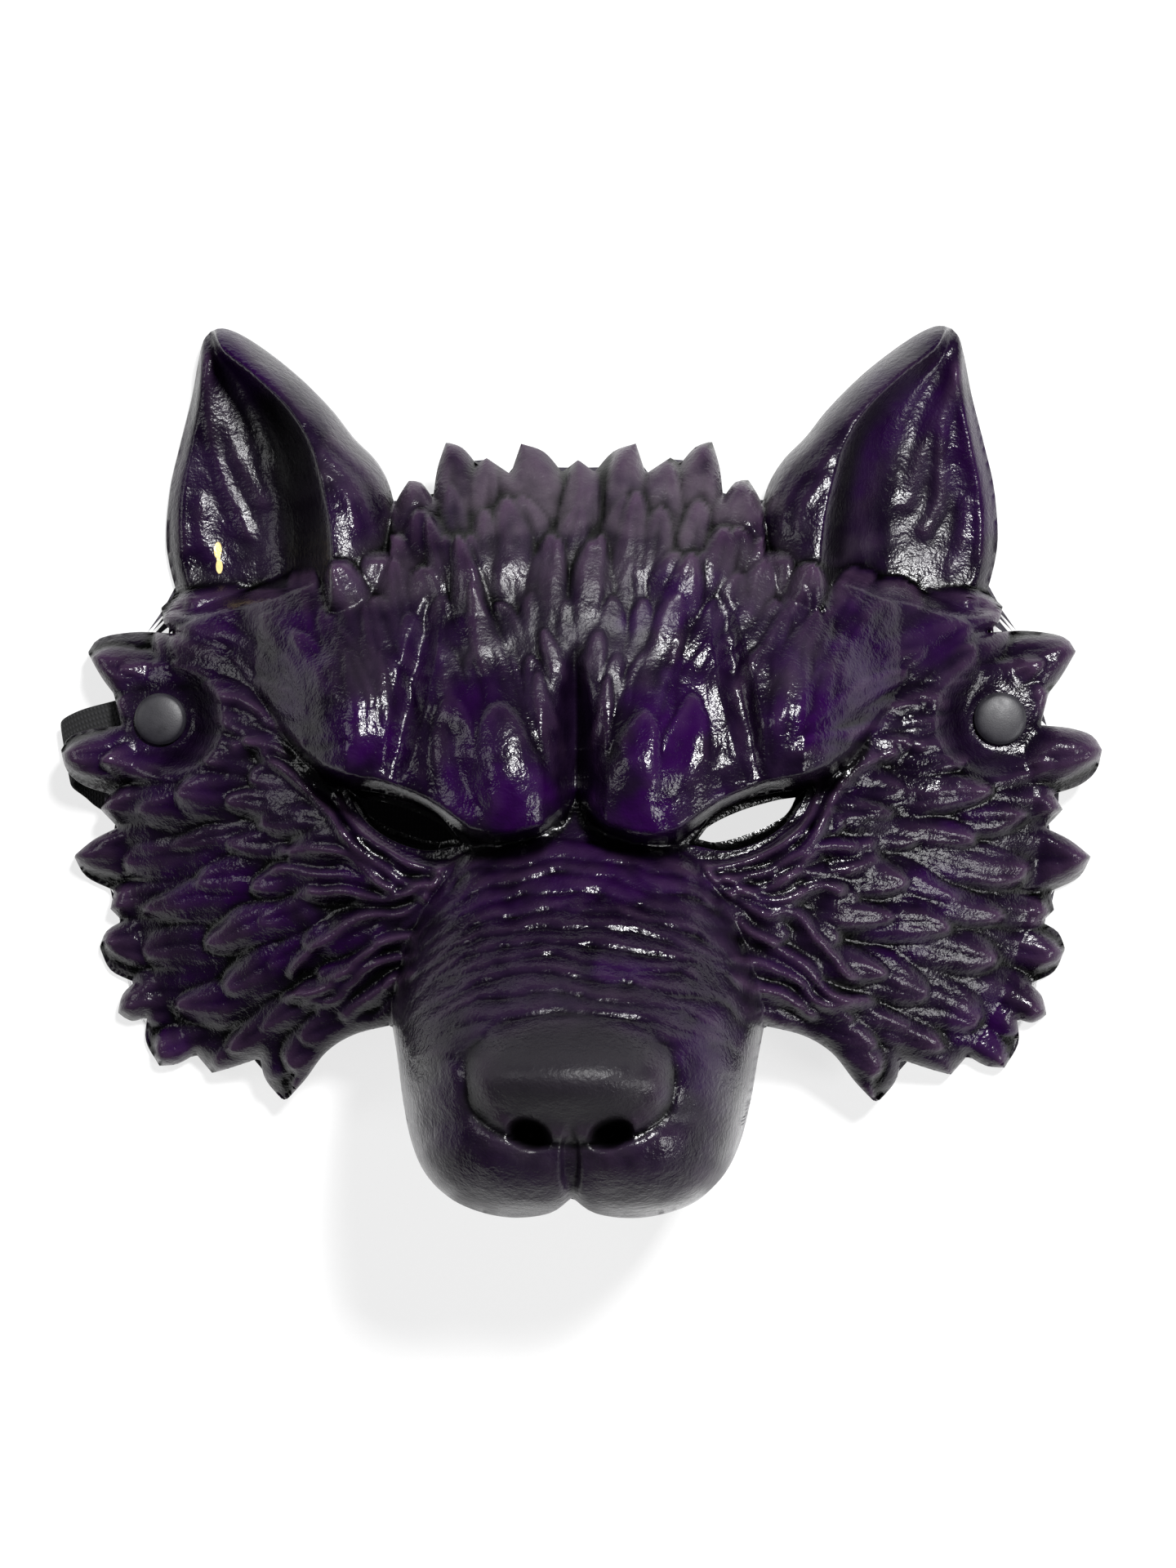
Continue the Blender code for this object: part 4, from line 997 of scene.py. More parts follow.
def grid_of_places(coarser=1):
    """For each row, straight lines through the plan's four reaches, mirrored about the middle."""
    rows = np.concatenate([np.arange(first, last, step * coarser) for first, last, step in ROW_PLAN])
    reaches = np.stack([np.zeros_like(rows), *[straight(COLUMN_PLAN, rows, number) for number in range(1, 5)]])
    share = np.linspace(-1.0, 1.0, 2 * (COLUMNS // coarser) + 1)
    quarter = np.clip((np.abs(share) * 4).astype(int), 0, 3)
    into = np.abs(share) * 4 - quarter
    across = reaches[quarter].T * (1 - into) + reaches[quarter + 1].T * into
    across = across * np.sign(share)
    return np.stack([across, np.repeat(rows[:, None], len(share), axis=1)], axis=-1)


def inside(places, edge):
    """Whether each place is inside a closed edge: it crosses a line to the right an odd number of times."""
    result = np.zeros(len(places), bool)
    for (x1, y1), (x2, y2) in zip(edge, np.roll(edge, -1, axis=0)):
        if y1 != y2:
            crosses = (places[:, 1] < y1) != (places[:, 1] < y2)
            result ^= crosses & (places[:, 0] < x1 + (places[:, 1] - y1) * (x2 - x1) / (y2 - y1))
    return result


def fitted_grid(coarser=1):
    """Places of the grid inside the outline and round it, those round it moved onto it, the quads between them,
    and how far each place is from an edge."""
    grid = grid_of_places(coarser)
    shape = grid.shape[:2]
    places = grid.reshape(-1, 2).copy()
    solid = inside(places, EDGES[0]) & ~inside(places, EDGES[1]) & ~inside(places, EDGES[2])
    away, found = nearest_edge(places, EDGE_ROUND * coarser)
    solid &= away > 0.25 * MM * coarser
    grown = np.zeros(shape, bool)
    padded = np.pad(solid.reshape(shape), 1)
    for down in range(3):
        for sideways in range(3):
            grown |= padded[down : down + shape[0], sideways : sideways + shape[1]]
    on_edge = grown.ravel() & ~solid
    places[on_edge] = found[on_edge]
    away[on_edge] = 0.0
    number = np.arange(len(places)).reshape(shape)
    corners = [number[:-1, :-1], number[:-1, 1:], number[1:, 1:], number[1:, :-1]]
    quads = np.stack(corners, axis=-1).reshape(-1, 4)
    quads = quads[solid[quads].any(axis=1)]
    used, quads = np.unique(quads, return_inverse=True)
    return places[used], quads.reshape(-1, 4), away[used]


front_places, front_quads, front_away = fitted_grid()
print("front grid:", len(front_places), "places,", len(front_quads), "quads")

# %% [markdown]
# The rim
#
# The foam ends in a cut edge that shows from the side. The open border of the grid is found by counting: an
# edge that belongs to one quad only is on the border. From there the rim goes down to the back and a little way
# in, so that the back piece closes against it.

# %% Border, rim and mesh
def border_of(quads):
    """Directed edges that have no partner going the other way."""
    edges = np.concatenate([quads[:, [k, (k + 1) % 4]] for k in range(4)])
    code = edges[:, 0] * np.int64(quads.max() + 1) + edges[:, 1]
    partner = edges[:, 1] * np.int64(quads.max() + 1) + edges[:, 0]
    return edges[~np.isin(code, partner)]


def inward(places, border):
    """At each place on the border, the direction to its left along the two border edges that meet there."""
    run = (places[border[:, 1]] - places[border[:, 0]]) * SHARES
    left = np.stack([-run[:, 1], run[:, 0]], axis=1)
    total = np.zeros_like(places)
    np.add.at(total, border[:, 0], left)
    np.add.at(total, border[:, 1], left)
    return total / np.maximum(np.linalg.norm(total, axis=1), 1e-9)[:, None]


def eased(heights, border, passes=8):
    """Heights along a border, each moved halfway to the mean of its two neighbours a few times."""
    heights = heights.copy()
    ring = np.unique(border)
    for _ in range(passes):
        total, count = np.zeros_like(heights), np.zeros_like(heights)
        for here, there in ((0, 1), (1, 0)):
            np.add.at(total, border[:, here], heights[border[:, there]])
            np.add.at(count, border[:, here], 1.0)
        heights[ring] = 0.5 * heights[ring] + 0.5 * total[ring] / count[ring]
    return heights


def mesh_piece(name, points, faces, material, marks=None):
    """A mesh object at the origin from whole arrays, with a float attribute for each named mark."""
    points = np.asarray(points) + SHIFT
    mesh = bpy.data.meshes.new(name)
    mesh.vertices.add(len(points))
    mesh.vertices.foreach_set("co", points.astype(np.float32).ravel())
    sides = faces.shape[1]
    mesh.loops.add(faces.size)
    mesh.loops.foreach_set("vertex_index", faces.ravel().astype(np.int32))
    mesh.polygons.add(len(faces))
    mesh.polygons.foreach_set("loop_start", np.arange(0, faces.size, sides, dtype=np.int32))
    mesh.polygons.foreach_set("loop_total", np.full(len(faces), sides, dtype=np.int32))
    for mark, values in (marks or {}).items():
        layer = mesh.attributes.new(mark, "FLOAT", "POINT")
        layer.data.foreach_set("value", np.asarray(values, np.float32))
    mesh.update(calc_edges=True)
    mesh.validate()
    mesh.shade_smooth()
    piece = bpy.data.objects.new(name, mesh)
    bpy.context.scene.collection.objects.link(piece)
    mesh.materials.append(material)
    print(name, "has", len(faces), "faces of", sides, "corners")
    return piece


# %% [markdown]
# Where the paint sits
#
# The skin was sprayed a dark violet grey, patches of it a strong violet, the forehead a warm grey, and the
# ridges were rubbed with a paler mauve. The creases are darkened nearly to black as painted shade, and painted
# shadows lie under the brow, in the ear cups, in the nostrils and on the walls of the eye holes. Each of these
# is a mark from 0 to 1 for every place. The rubbed ridges and the painted shade of the creases come from the
# relief itself: its height less its own blurred height.

# %% Marks for the paint
# across, up, half_across, half_up and turn of each violet patch, in millimetres and degrees, and its strength
VIOLET = (
    (-54, 7, 15, 10, -20, 0.9),
    (-19, -6, 15, 10, -10, 1.0),
    (-25, 14, 7, 22, 12, 0.6),
    (-84, -27, 26, 9, -4, 0.9),
    (-72, -38, 22, 10, -14, 0.8),
    (-98, -6, 10, 6, 0, 0.5),
    (-102, 24, 16, 6, -12, 0.6),
    (-114, 5, 14, 7, 0, 0.6),
    (-90, 38, 13, 6, -25, 0.8),
    (-84, 99, 12, 9, -40, 0.9),
    (-92, 68, 8, 22, 8, 0.35),
    (-56, 62, 9, 14, 0, 0.3),
    (-104, -65, 7, 7, 0, 0.9),
    (-90, -52, 14, 7, 30, 0.5),
    (-76, -76, 5, 7, 0, 0.4),
    (60, 14, 13, 15, 10, 0.95),
    (25, 6, 12, 22, -15, 1.0),
    (20, -8, 16, 8, 8, 0.9),
    (24, 42, 10, 10, 0, 0.8),
    (34, 30, 8, 12, 0, 0.35),
    (52, 27, 6, 6, 0, 0.5),
    (84, 90, 12, 16, -35, 0.7),
    (67, 74, 5, 20, -20, 0.6),
    (96, 76, 7, 28, 4, 0.6),
    (90, 36, 13, 6, 25, 0.5),
    (88, -28, 10, 7, 0, 0.7),
    (96, -11, 8, 6, 30, 0.6),
    (101, -61, 8, 10, 0, 0.9),
    (64, -17, 12, 5, 0, 0.4),
    (79, -42, 9, 6, 0, 0.5),
    (112, -44, 12, 6, 0, 0.3),
    (50, -50, 12, 5, 0, 0.4),
    (-22, -32, 18, 5, 8, 0.45),
    (6, -27, 26, 5, -4, 0.6),
    (14, -49, 8, 3, 0, 0.7),
    (-35, -84, 9, 14, 0, 0.35),
    (33, -70, 10, 12, 0, 0.45),
    (0, -19, 30, 5, 0, 0.5),
    (-67, 27, 9, 20, 0, 0.75),
    (70, 28, 9, 20, 0, 0.75),
    (-38, 28, 8, 16, 0, 0.4),
)


def patches(table):
    """The strongest of some ovals at each place: strength times a smooth step of its edge, rough with noise."""
    rough = 0.22 * mottle(3.0) + 0.12 * mottle(1.2)
    best = np.zeros_like(ACROSS)
    for middle_across, middle_up, half_across, half_up, turn, strength in table:
        turn = math.radians(turn)
        right = ACROSS * 100 - middle_across
        over = UP * 100 - middle_up
        first = (right * math.cos(turn) + over * math.sin(turn)) / half_across
        second = (over * math.cos(turn) - right * math.sin(turn)) / half_up
        best = np.maximum(best, strength * smooth_step(1.25 - np.hypot(first, second) + rough))
    return best


# across, up, half_across, half_up, turn, strength
DUSTY = (
    (0, 68, 44, 12, 0, 0.9),
    (0, 52, 34, 8, 0, 0.25),
    (-46, 48, 18, 9, 0, 0.35),
    (48, 50, 18, 9, 0, 0.35),
    (-52, 28, 9, 12, 0, 0.20),
    (56, 27, 9, 10, 0, 0.25),
    (-54, 74, 9, 12, -30, 0.3),
    (0, -84, 30, 20, 0, 0.20),
)
MATT = (
    (-1, -76, 27, 17, 0, 1.0),
    (-2, -98, 32, 12, 0, 0.6),
    (0, 62, 46, 22, 0, 0.9),
    (0, 38, 34, 18, 0, 0.9),
    (-46, 40, 18, 14, 0, 0.35),
    (46, 42, 18, 12, 0, 0.35),
    (0, -56, 22, 7, 0, 0.5),
    (-82, 76, 20, 32, 0, 0.35),
    (82, 76, 20, 32, 0, 0.35),
)

# Painted shade in the creases: the further the relief sinks below its own blur, the darker it is painted.
raised = relief - blurred(relief, 1.6)
wide_raised = relief - blurred(relief, 4.0)
marks_raster = {
    "violet": patches(VIOLET),
    "dusty": patches(DUSTY),
    "matt": patches(MATT),
    "rubbed": np.clip(0.55 * raised + 0.18 * wide_raised, 0.0, 1.0),
    "painted_shade": np.clip(-0.80 * raised - 0.30 * wide_raised, 0.0, 1.0),
}
# Painted shadows: a dark band under the overhanging brow, and a dark strip in each ear cup beside its fold,
# wider in the left ear, which its fold shades from the light on the right.
brow_shadow = smooth_step(1.3 - np.abs(UP - straight(BROW, MIRRORED, 1) + 0.030) / 0.035) * (MIRRORED < 0.72)
ear_outer, ear_rim = along(EAR_SECTIONS, UP, 1), along(EAR_SECTIONS, UP, 2)
cup_share = (MIRRORED - ear_rim) / (ear_outer - ear_rim)
shade_width = np.where(ACROSS < 0, 0.26, 0.11)
cup_shade = smooth_step((1.6 - cup_share / shade_width) * 1.4) * (cup_share > 0.02)
cup_shade = cup_shade * smooth_step((UP - 0.48) / 0.06) * smooth_step((1.00 - UP) / 0.10)
for shade in (0.95 * brow_shadow, blurred(cup_shade, 0.8)):
    marks_raster["painted_shade"] = np.maximum(marks_raster["painted_shade"], shade)
nostril_shade = smooth_step(1.4 * bump_at((*NOSTRIL[:5], 1.0)) ** 0.5)
marks_raster["painted_shade"] = np.maximum(marks_raster["painted_shade"], nostril_shade)
print("marks:", {name: round(float(field.mean()), 3) for name, field in marks_raster.items()})

# %% [markdown]
# The lacquered foam
#
# One Principled shader paints the skin. Its colour starts at a dark violet grey, and each mark blends another
# colour in. Noise on Object coordinates breaks up every blend at the scale of a brush. A pebbled bump gives the
# lacquer the grain that splits its highlights into sparks, and the matt mark raises the roughness.

# %% Material of the skin
def linear(colour):
    """A web colour as linear light: each channel over 255, to the power 2.2."""
    return tuple((int(colour[k : k + 2], 16) / 255) ** 2.2 for k in (0, 2, 4)) + (1.0,)


class Painter:
    """Short names for the few nodes that these finishes use."""

    def __init__(self, name):
        self.material = bpy.data.materials.new(name)
        self.material.use_nodes = True
        self.tree = self.material.node_tree
        self.shader = self.tree.nodes["Principled BSDF"]
        self.place = self.node("ShaderNodeTexCoord").outputs["Object"]

    def node(self, kind, **settings):
        made = self.tree.nodes.new(kind)
        for name, value in settings.items():
            setattr(made, name, value)
        return made

    def feed(self, socket, value):
        """Links a socket's input or sets its number or colour."""
        if isinstance(value, bpy.types.NodeSocket):
            self.tree.links.new(value, socket)
        else:
            socket.default_value = value

    def mark(self, name):
        return self.node("ShaderNodeAttribute", attribute_name=name).outputs["Fac"]

    def noise(self, scale, detail=3.0, roughness=0.6):
        made = self.node("ShaderNodeTexNoise")
        self.feed(made.inputs["Vector"], self.place)
        made.inputs["Scale"].default_value = scale
        made.inputs["Detail"].default_value = detail
        made.inputs["Roughness"].default_value = roughness
        return made.outputs["Fac"]

    def oval(self, middle, halves):
        """Distance from an upright cylinder with an oval section: 1 on its wall."""
        offset = self.node("ShaderNodeVectorMath", operation="SUBTRACT")
        self.feed(offset.inputs[0], self.place)
        offset.inputs[1].default_value = middle
        shares = self.node("ShaderNodeVectorMath", operation="MULTIPLY")
        self.feed(shares.inputs[0], offset.outputs[0])
        shares.inputs[1].default_value = (1 / halves[0], 1 / halves[1], 0.0)
        length = self.node("ShaderNodeVectorMath", operation="LENGTH")
        self.feed(length.inputs[0], shares.outputs[0])
        return length.outputs["Value"]

    def sum(self, kind, first, second, third=0.0):
        made = self.node("ShaderNodeMath", operation=kind)
        for socket, value in zip(made.inputs, (first, second, third)):
            self.feed(socket, value)
        return made.outputs[0]

    def spread(self, value, low, high, out_low=0.0, out_high=1.0):
        made = self.node("ShaderNodeMapRange")
        for socket, number in zip(made.inputs, (value, low, high, out_low, out_high)):
            self.feed(socket, number)
        return made.outputs[0]

    def blend(self, share, first, second):
        made = self.node("ShaderNodeMix", data_type="RGBA")
        self.feed(made.inputs[0], share)
        self.feed(made.inputs[6], first)
        self.feed(made.inputs[7], second)
        return made.outputs[2]

    def bump(self, height, distance, strength=1.0, under=None):
        made = self.node("ShaderNodeBump")
        made.inputs["Distance"].default_value = distance
        made.inputs["Strength"].default_value = strength
        self.feed(made.inputs["Height"], height)
        if under is not None:
            self.feed(made.inputs["Normal"], under)
        return made.outputs["Normal"]


VIOLET_LACQUER = linear("1f082d")
WARM_GREY = linear("3d363e")
MAUVE = linear("362839")
PAINTED_SHADE_BLACK = linear("010101")
CHARCOAL = linear("1e1c20")

lacquer = Painter("lacquered foam")
brushed = lacquer.noise(260.0, 4.0)
blotches = lacquer.noise(70.0, 3.0)
shaken = lacquer.spread(brushed, 0.3, 0.7, -0.25, 0.25)


def roughened(mark, strength=1.0):
    """A mark with noise added where it is neither 0 nor 1, so that its edge looks brushed."""
    total = lacquer.sum("MULTIPLY_ADD", shaken, mark, mark)
    return lacquer.spread(total, 0.0, 1.0, 0.0, strength)


# The chip in the left ear is two small ovals end to end, with a smaller one between them. In millimetres on the
# face: across, up, half_across, half_up.
CHIP = ((-88.3, 54.2, 0.9, 2.0), (-87.9, 50.2, 0.8, 1.7), (-88.1, 52.2, 0.45, 1.2))
CHIP_DEPTH = float(read(form, np.array([[-0.881, 0.522]]))[0])
chip = 0.0
for across, up, half_across, half_up in CHIP:
    middle = draft(np.array([across / 100]), np.array([up / 100]), np.array([CHIP_DEPTH]))[0] + SHIFT
    away = lacquer.oval(middle, (half_across * MM, half_up * MM))
    chip = lacquer.sum("MAXIMUM", chip, lacquer.spread(away, 0.92, 1.08, 1.0, 0.0))

base = lacquer.blend(lacquer.spread(blotches, 0.35, 0.65), linear("110a17"), linear("1b1222"))
base = lacquer.blend(roughened(lacquer.mark("dusty")), base, WARM_GREY)
base = lacquer.blend(lacquer.mark("nose"), base, CHARCOAL)
base = lacquer.blend(roughened(lacquer.mark("violet")), base, VIOLET_LACQUER)
base = lacquer.blend(roughened(lacquer.mark("rubbed"), 0.75), base, MAUVE)
# Painted shade: the creases, the shadows under the brow and in the ear cups, the nostrils and the eye-hole walls
# turn nearly black.
base = lacquer.blend(lacquer.mark("painted_shade"), base, PAINTED_SHADE_BLACK)
base = lacquer.blend(chip, base, linear("c9b37a"))
lacquer.feed(lacquer.shader.inputs["Base Color"], base)
sheen_share = lacquer.spread(blotches, 0.3, 0.7, 0.15, 0.25)
sheen_share = lacquer.sum("MULTIPLY_ADD", lacquer.mark("matt"), 0.30, sheen_share)
lacquer.feed(lacquer.shader.inputs["Roughness"], sheen_share)
grain = lacquer.bump(lacquer.noise(1500.0, 2.0, 0.5), 0.00012)
grain = lacquer.bump(lacquer.noise(520.0, 2.0, 0.5), 0.00028, 0.8, grain)
lacquer.feed(lacquer.shader.inputs["Normal"], grain)
lacquer.shader.inputs["Specular IOR Level"].default_value = 0.19
print("lacquer has", len(lacquer.tree.nodes), "nodes")

# %% [markdown]
# The face piece
#
# Now the mesh can read everything: place, height and marks. Round each eye hole the rim goes on inwards behind
# the skin, so the hole that light comes through is a narrow slit, and the wall round it is painted black as
# painted shade.

# %% Make the front
# The line along the middle of the right eye's slit, and how far the rim moves towards it.
SLIT = np.array([(0.325, -0.148), (0.500, -0.088)])
SLIT_CLOSED = 0.46


def towards_slit(places):
    """A share of the way from each place to the nearest place on the slit's middle line of its own eye."""
    flip = np.where(places[:, :1] < 0, -1.0, 1.0) * (1.0, 0.0) + (0.0, 1.0)
    mirrored = places * flip
    run = SLIT[1] - SLIT[0]
    share = np.clip((mirrored - SLIT[0]) @ run / (run @ run), 0.0, 1.0)[:, None]
    return (mirrored + SLIT_CLOSED * (SLIT[0] + share * run - mirrored)) * flip


def nose_mark(places):
    """1 on the nose pad, fading out round its edge."""
    pad = np.hypot((places[:, 0] * 100 + 1.0) / 26, (places[:, 1] * 100 + 76.0) / 16)
    return smooth_step((1.12 - pad) / 0.25)


# Where the border belongs to an eye hole, and the rings of the rim: the flange's width and drop, how far the
# middle ring leans in as a share of the flange, and how far the low ring stays above the back.
EYE_ACROSS = 0.60
EYE_LOW = -0.25
FLANGE = 0.6 * MM
FLANGE_DROP = 0.15 * MM
RIM_LEAN = 0.18
LOW_RING = 0.2 * MM


def front_piece():
    """Grid, rim and flange: the border goes down to the back in three rings, the last one a little way in."""
    border = border_of(front_quads)
    count = len(front_places)
    heights = eased(front_height(front_places, front_away), border)
    top = draft(front_places[:, 0], front_places[:, 1], heights)
    ring, index = np.unique(border, return_inverse=True)
    index = index.reshape(-1, 2)
    edge = front_places[ring]
    floor = eased(back_height(front_places), border)[ring]
    lip = top[ring, 2]
    at_eye = (np.abs(edge[:, 0]) < EYE_ACROSS) & (edge[:, 1] < 0.0) & (edge[:, 1] > EYE_LOW)
    step_in = inward(front_places, border)[ring] * FLANGE / SHARES
    middle_ring = draft(edge[:, 0], edge[:, 1], 0.5 * (lip + floor))
    middle_ring[:, :2] -= step_in * SHARES * RIM_LEAN
    low_ring = draft(edge[:, 0], edge[:, 1], floor + LOW_RING)
    inner = edge + step_in
    inner = np.where(inside(inner, EDGES[0])[:, None], inner, edge)
    inner = np.where(at_eye[:, None], towards_slit(edge), inner)
    flange = draft(inner[:, 0], inner[:, 1], floor - FLANGE_DROP)
    points = np.concatenate([top, middle_ring, low_ring, flange])
    points[:, 2] = np.maximum(points[:, 2], 0.0)
    rings = [ring[index], count + index, count + len(ring) + index, count + 2 * len(ring) + index]
    walls = [np.stack([b[:, 0], b[:, 1], a[:, 1], a[:, 0]], axis=1) for a, b in zip(rings, rings[1:])]
    marks = {}
    for name, field in marks_raster.items():
        values = np.clip(read(field, front_places), 0.0, 1.0)
        # Round the eye holes the rim and flange get full painted shade, so the walls of the holes look black.
        below = np.maximum(values[ring], at_eye) if name == "painted_shade" else values[ring]
        marks[name] = np.concatenate([values, below, below, below])
    values = nose_mark(front_places)
    marks["nose"] = np.concatenate([values, *[values[ring] * 0] * 3])
    return points, np.concatenate([front_quads, *walls]), marks


front_points, front_faces, front_marks = front_piece()
foam_front = mesh_piece("foam_front", front_points, front_faces, lacquer.material, front_marks)
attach(foam_front, "root")
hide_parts("foam_shell")

# %% [markdown]
# The inside of the mask
#
# Behind the skin the foam is bare: dull, nearly black, with the fine pores of the moulding. The back needs no
# fur, so a grid of half the density will do. Its faces are turned round to look away from the front.

# %% Make the back
bare = Painter("bare foam")
pores = bare.noise(900.0, 3.0)
clouds = bare.noise(60.0, 2.0)
foam_colour = bare.blend(bare.spread(clouds, 0.3, 0.7), linear("1d1a22"), linear("2a2630"))
bare.feed(bare.shader.inputs["Base Color"], foam_colour)
bare.feed(bare.shader.inputs["Roughness"], bare.spread(pores, 0.3, 0.7, 0.62, 0.82))
bare.feed(bare.shader.inputs["Normal"], bare.bump(pores, 0.00025))

back_places, back_quads = fitted_grid(2)[:2]
back_heights = eased(back_height(back_places), border_of(back_quads), 2)
back_points = draft(back_places[:, 0], back_places[:, 1], back_heights)
foam_back = mesh_piece("foam_back", back_points, back_quads[:, ::-1], bare.material)
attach(foam_back, "root")
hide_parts("foam_shell")

# %% [markdown]
# The snaps
#
# Each snap is a domed plastic cap on the front, with a post through the foam into a flat socket behind the
# strap. They are round, so a profile of (radius, height) is carried once round an axis. A lathe or a Screw
# modifier does the same; here it is one outer product of the profile and the turn.

# %% Caps and sockets
TURN_STEPS = 64


def turned(name, profile, middle, material):
    """Radius times cosine and sine of the turn, with the profile's height over a middle point."""
    profile = np.array(profile)
    angle = 2 * np.pi * np.arange(TURN_STEPS) / TURN_STEPS
    rings = profile[:, 0:1]
    points = np.stack(
        [rings * np.cos(angle), rings * np.sin(angle), np.repeat(profile[:, 1:2], TURN_STEPS, axis=1)], axis=-1
    )
    number = np.arange(len(profile) * TURN_STEPS).reshape(len(profile), TURN_STEPS)
    after = np.roll(number, -1, axis=1)
    faces = np.stack([number[:-1], number[1:], after[1:], after[:-1]], axis=-1).reshape(-1, 4)
    return mesh_piece(name, points.reshape(-1, 3) + middle, faces, material)


plastic = Painter("satin black plastic")
scuffs = plastic.noise(420.0, 5.0)
plastic.feed(plastic.shader.inputs["Base Color"], plastic.blend(scuffs, linear("131217"), linear("1d1b22")))
plastic.feed(plastic.shader.inputs["Roughness"], plastic.spread(scuffs, 0.3, 0.7, 0.45, 0.60))
plastic.feed(plastic.shader.inputs["Normal"], plastic.bump(plastic.noise(2600.0, 2.0), 0.00003))

DOME_RADIUS = CAP_RADIUS * 0.93
dome_turns = np.linspace(0.001, 1.45, 12)
dome = [(DOME_RADIUS * math.sin(t), CAP_HEIGHT * (0.42 + 0.40 * math.cos(t))) for t in dome_turns]
POST_LENGTH = SNAP_RAISED + FOAM_WALL + 2 * GAP + STRAP_THICKNESS + SOCKET_HEIGHT - SOCKET_FLOOR
CAP_PROFILE = dome + [
    (CAP_RADIUS * 0.955, CAP_HEIGHT * 0.40),
    (CAP_RADIUS * 0.985, CAP_HEIGHT * 0.34),
    (CAP_RADIUS, CAP_HEIGHT * 0.22),
    (CAP_RADIUS, CAP_HEIGHT * 0.06),
    (CAP_RADIUS * 0.98, 0.0),
    (POST_RADIUS, 0.0),
    (POST_RADIUS, -POST_LENGTH),
    (1e-5, -POST_LENGTH),
]
SOCKET_PROFILE = [
    (1e-5, SOCKET_FLOOR - SOCKET_HEIGHT),
    (POST_RADIUS + GAP, SOCKET_FLOOR - SOCKET_HEIGHT),
    (POST_RADIUS + GAP, 0.0),
    (SOCKET_RADIUS * 0.97, 0.0),
    (SOCKET_RADIUS, -0.08 * SOCKET_HEIGHT),
    (SOCKET_RADIUS, -0.55 * SOCKET_HEIGHT),
    (SOCKET_RADIUS * 0.94, -0.80 * SOCKET_HEIGHT),
    (SOCKET_RADIUS * 0.86, -0.86 * SOCKET_HEIGHT),
    (SOCKET_RADIUS * 0.78, -0.86 * SOCKET_HEIGHT),
    (SOCKET_RADIUS * 0.72, -1.00 * SOCKET_HEIGHT),
    (1e-5, -1.00 * SOCKET_HEIGHT),
]
snap_points = []
for name, side in (("left", -1.0), ("right", 1.0)):
    snap = draft(np.array(side * SNAP_ACROSS), np.array(SNAP_UP), np.array(PAD_TOP))
    snap_points.append(snap)
    cap = turned(f"cap_{name}", CAP_PROFILE, snap + (0.0, 0.0, GAP + SNAP_RAISED), plastic.material)
    below = snap - (0.0, 0.0, FOAM_WALL + 2 * GAP + STRAP_THICKNESS)
    socket = turned(f"socket_{name}", SOCKET_PROFILE, below, plastic.material)
    for piece, node in ((cap, f"snap_cap_{name}"), (socket, f"snap_socket_{name}")):
        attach(piece, "root")
        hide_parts(node)
print("snaps at", np.round(np.array(snap_points) * 1000, 1).tolist(), "mm")

# %% [markdown]
# The elastic strap
#
# A flat black elastic runs from snap to snap. It comes out from under the left edge, folds back behind the mask
# and lies on the table. It is a ribbon carried along a line: at each point of the line a direction across the
# ribbon is given, and a flat oval section sweeps along. Its knit is drawn by its own UV map, so it follows
# every bend. It is modelled directly, as a strap this stiff hardly drapes.

# %% Strap
# across, up, height in strap thicknesses or None under a snap, turn in degrees
STRAP_ROUTE = (
    (-1.020, 0.130, None, 16),
    (-1.060, 0.120, None, 16),
    (-1.130, 0.102, None, 16),
    (-1.215, 0.078, 6.2, 15),
    (-1.262, 0.048, 3.8, 10),
    (-1.225, 0.015, 1.3, 4),
    (-1.140, -0.030, 0.5, -4),
    (-0.900, -0.085, 0.5, -8),
    (-0.450, -0.112, 0.5, -2),
    (-0.050, -0.090, 0.5, 6),
    (0.300, 0.000, 0.5, 16),
    (0.620, 0.085, 0.5, 12),
    (0.780, 0.115, 1.4, 6),
    (0.880, 0.128, 5.2, 2),
    (0.935, 0.130, None, 1),
    (0.965, 0.130, None, 1),
    (1.020, 0.130, None, 0),
)
SPAN_STEPS = 24
ACROSS_STEPS = 20


def strap_line():
    """The route as one Catmull-Rom curve in metres, with the turn as a fourth number in each row."""
    under = PAD_TOP - FOAM_WALL - GAP - 0.5 * STRAP_THICKNESS
    rows = []
    for across, up, height, turn in STRAP_ROUTE:
        level = under if height is None else height * STRAP_THICKNESS
        rows.append((*draft(np.array(across), np.array(up), np.array(level)), turn))
    rows[0] = (*snap_points[0][:2], under, rows[0][3])
    rows[-1] = (*snap_points[1][:2], under, rows[-1][3])
    rows = np.array(rows)
    padded = np.concatenate([[2 * rows[0] - rows[1]], rows, [2 * rows[-1] - rows[-2]]])
    before, start, end, after = [padded[k : len(padded) - 3 + k][:, None, :] for k in range(4)]
    share = (np.arange(SPAN_STEPS) / SPAN_STEPS)[None, :, None]
    bend = 2 * before - 5 * start + 4 * end - after
    twist = 3 * start - before - 3 * end + after
    line = 0.5 * (2 * start + (end - before) * share + bend * share**2 + twist * share**3)
    line = np.concatenate([line.reshape(-1, 4), rows[-1:]])
    line[:, 2] = np.clip(line[:, 2], 0.5 * STRAP_THICKNESS, under)
    return line


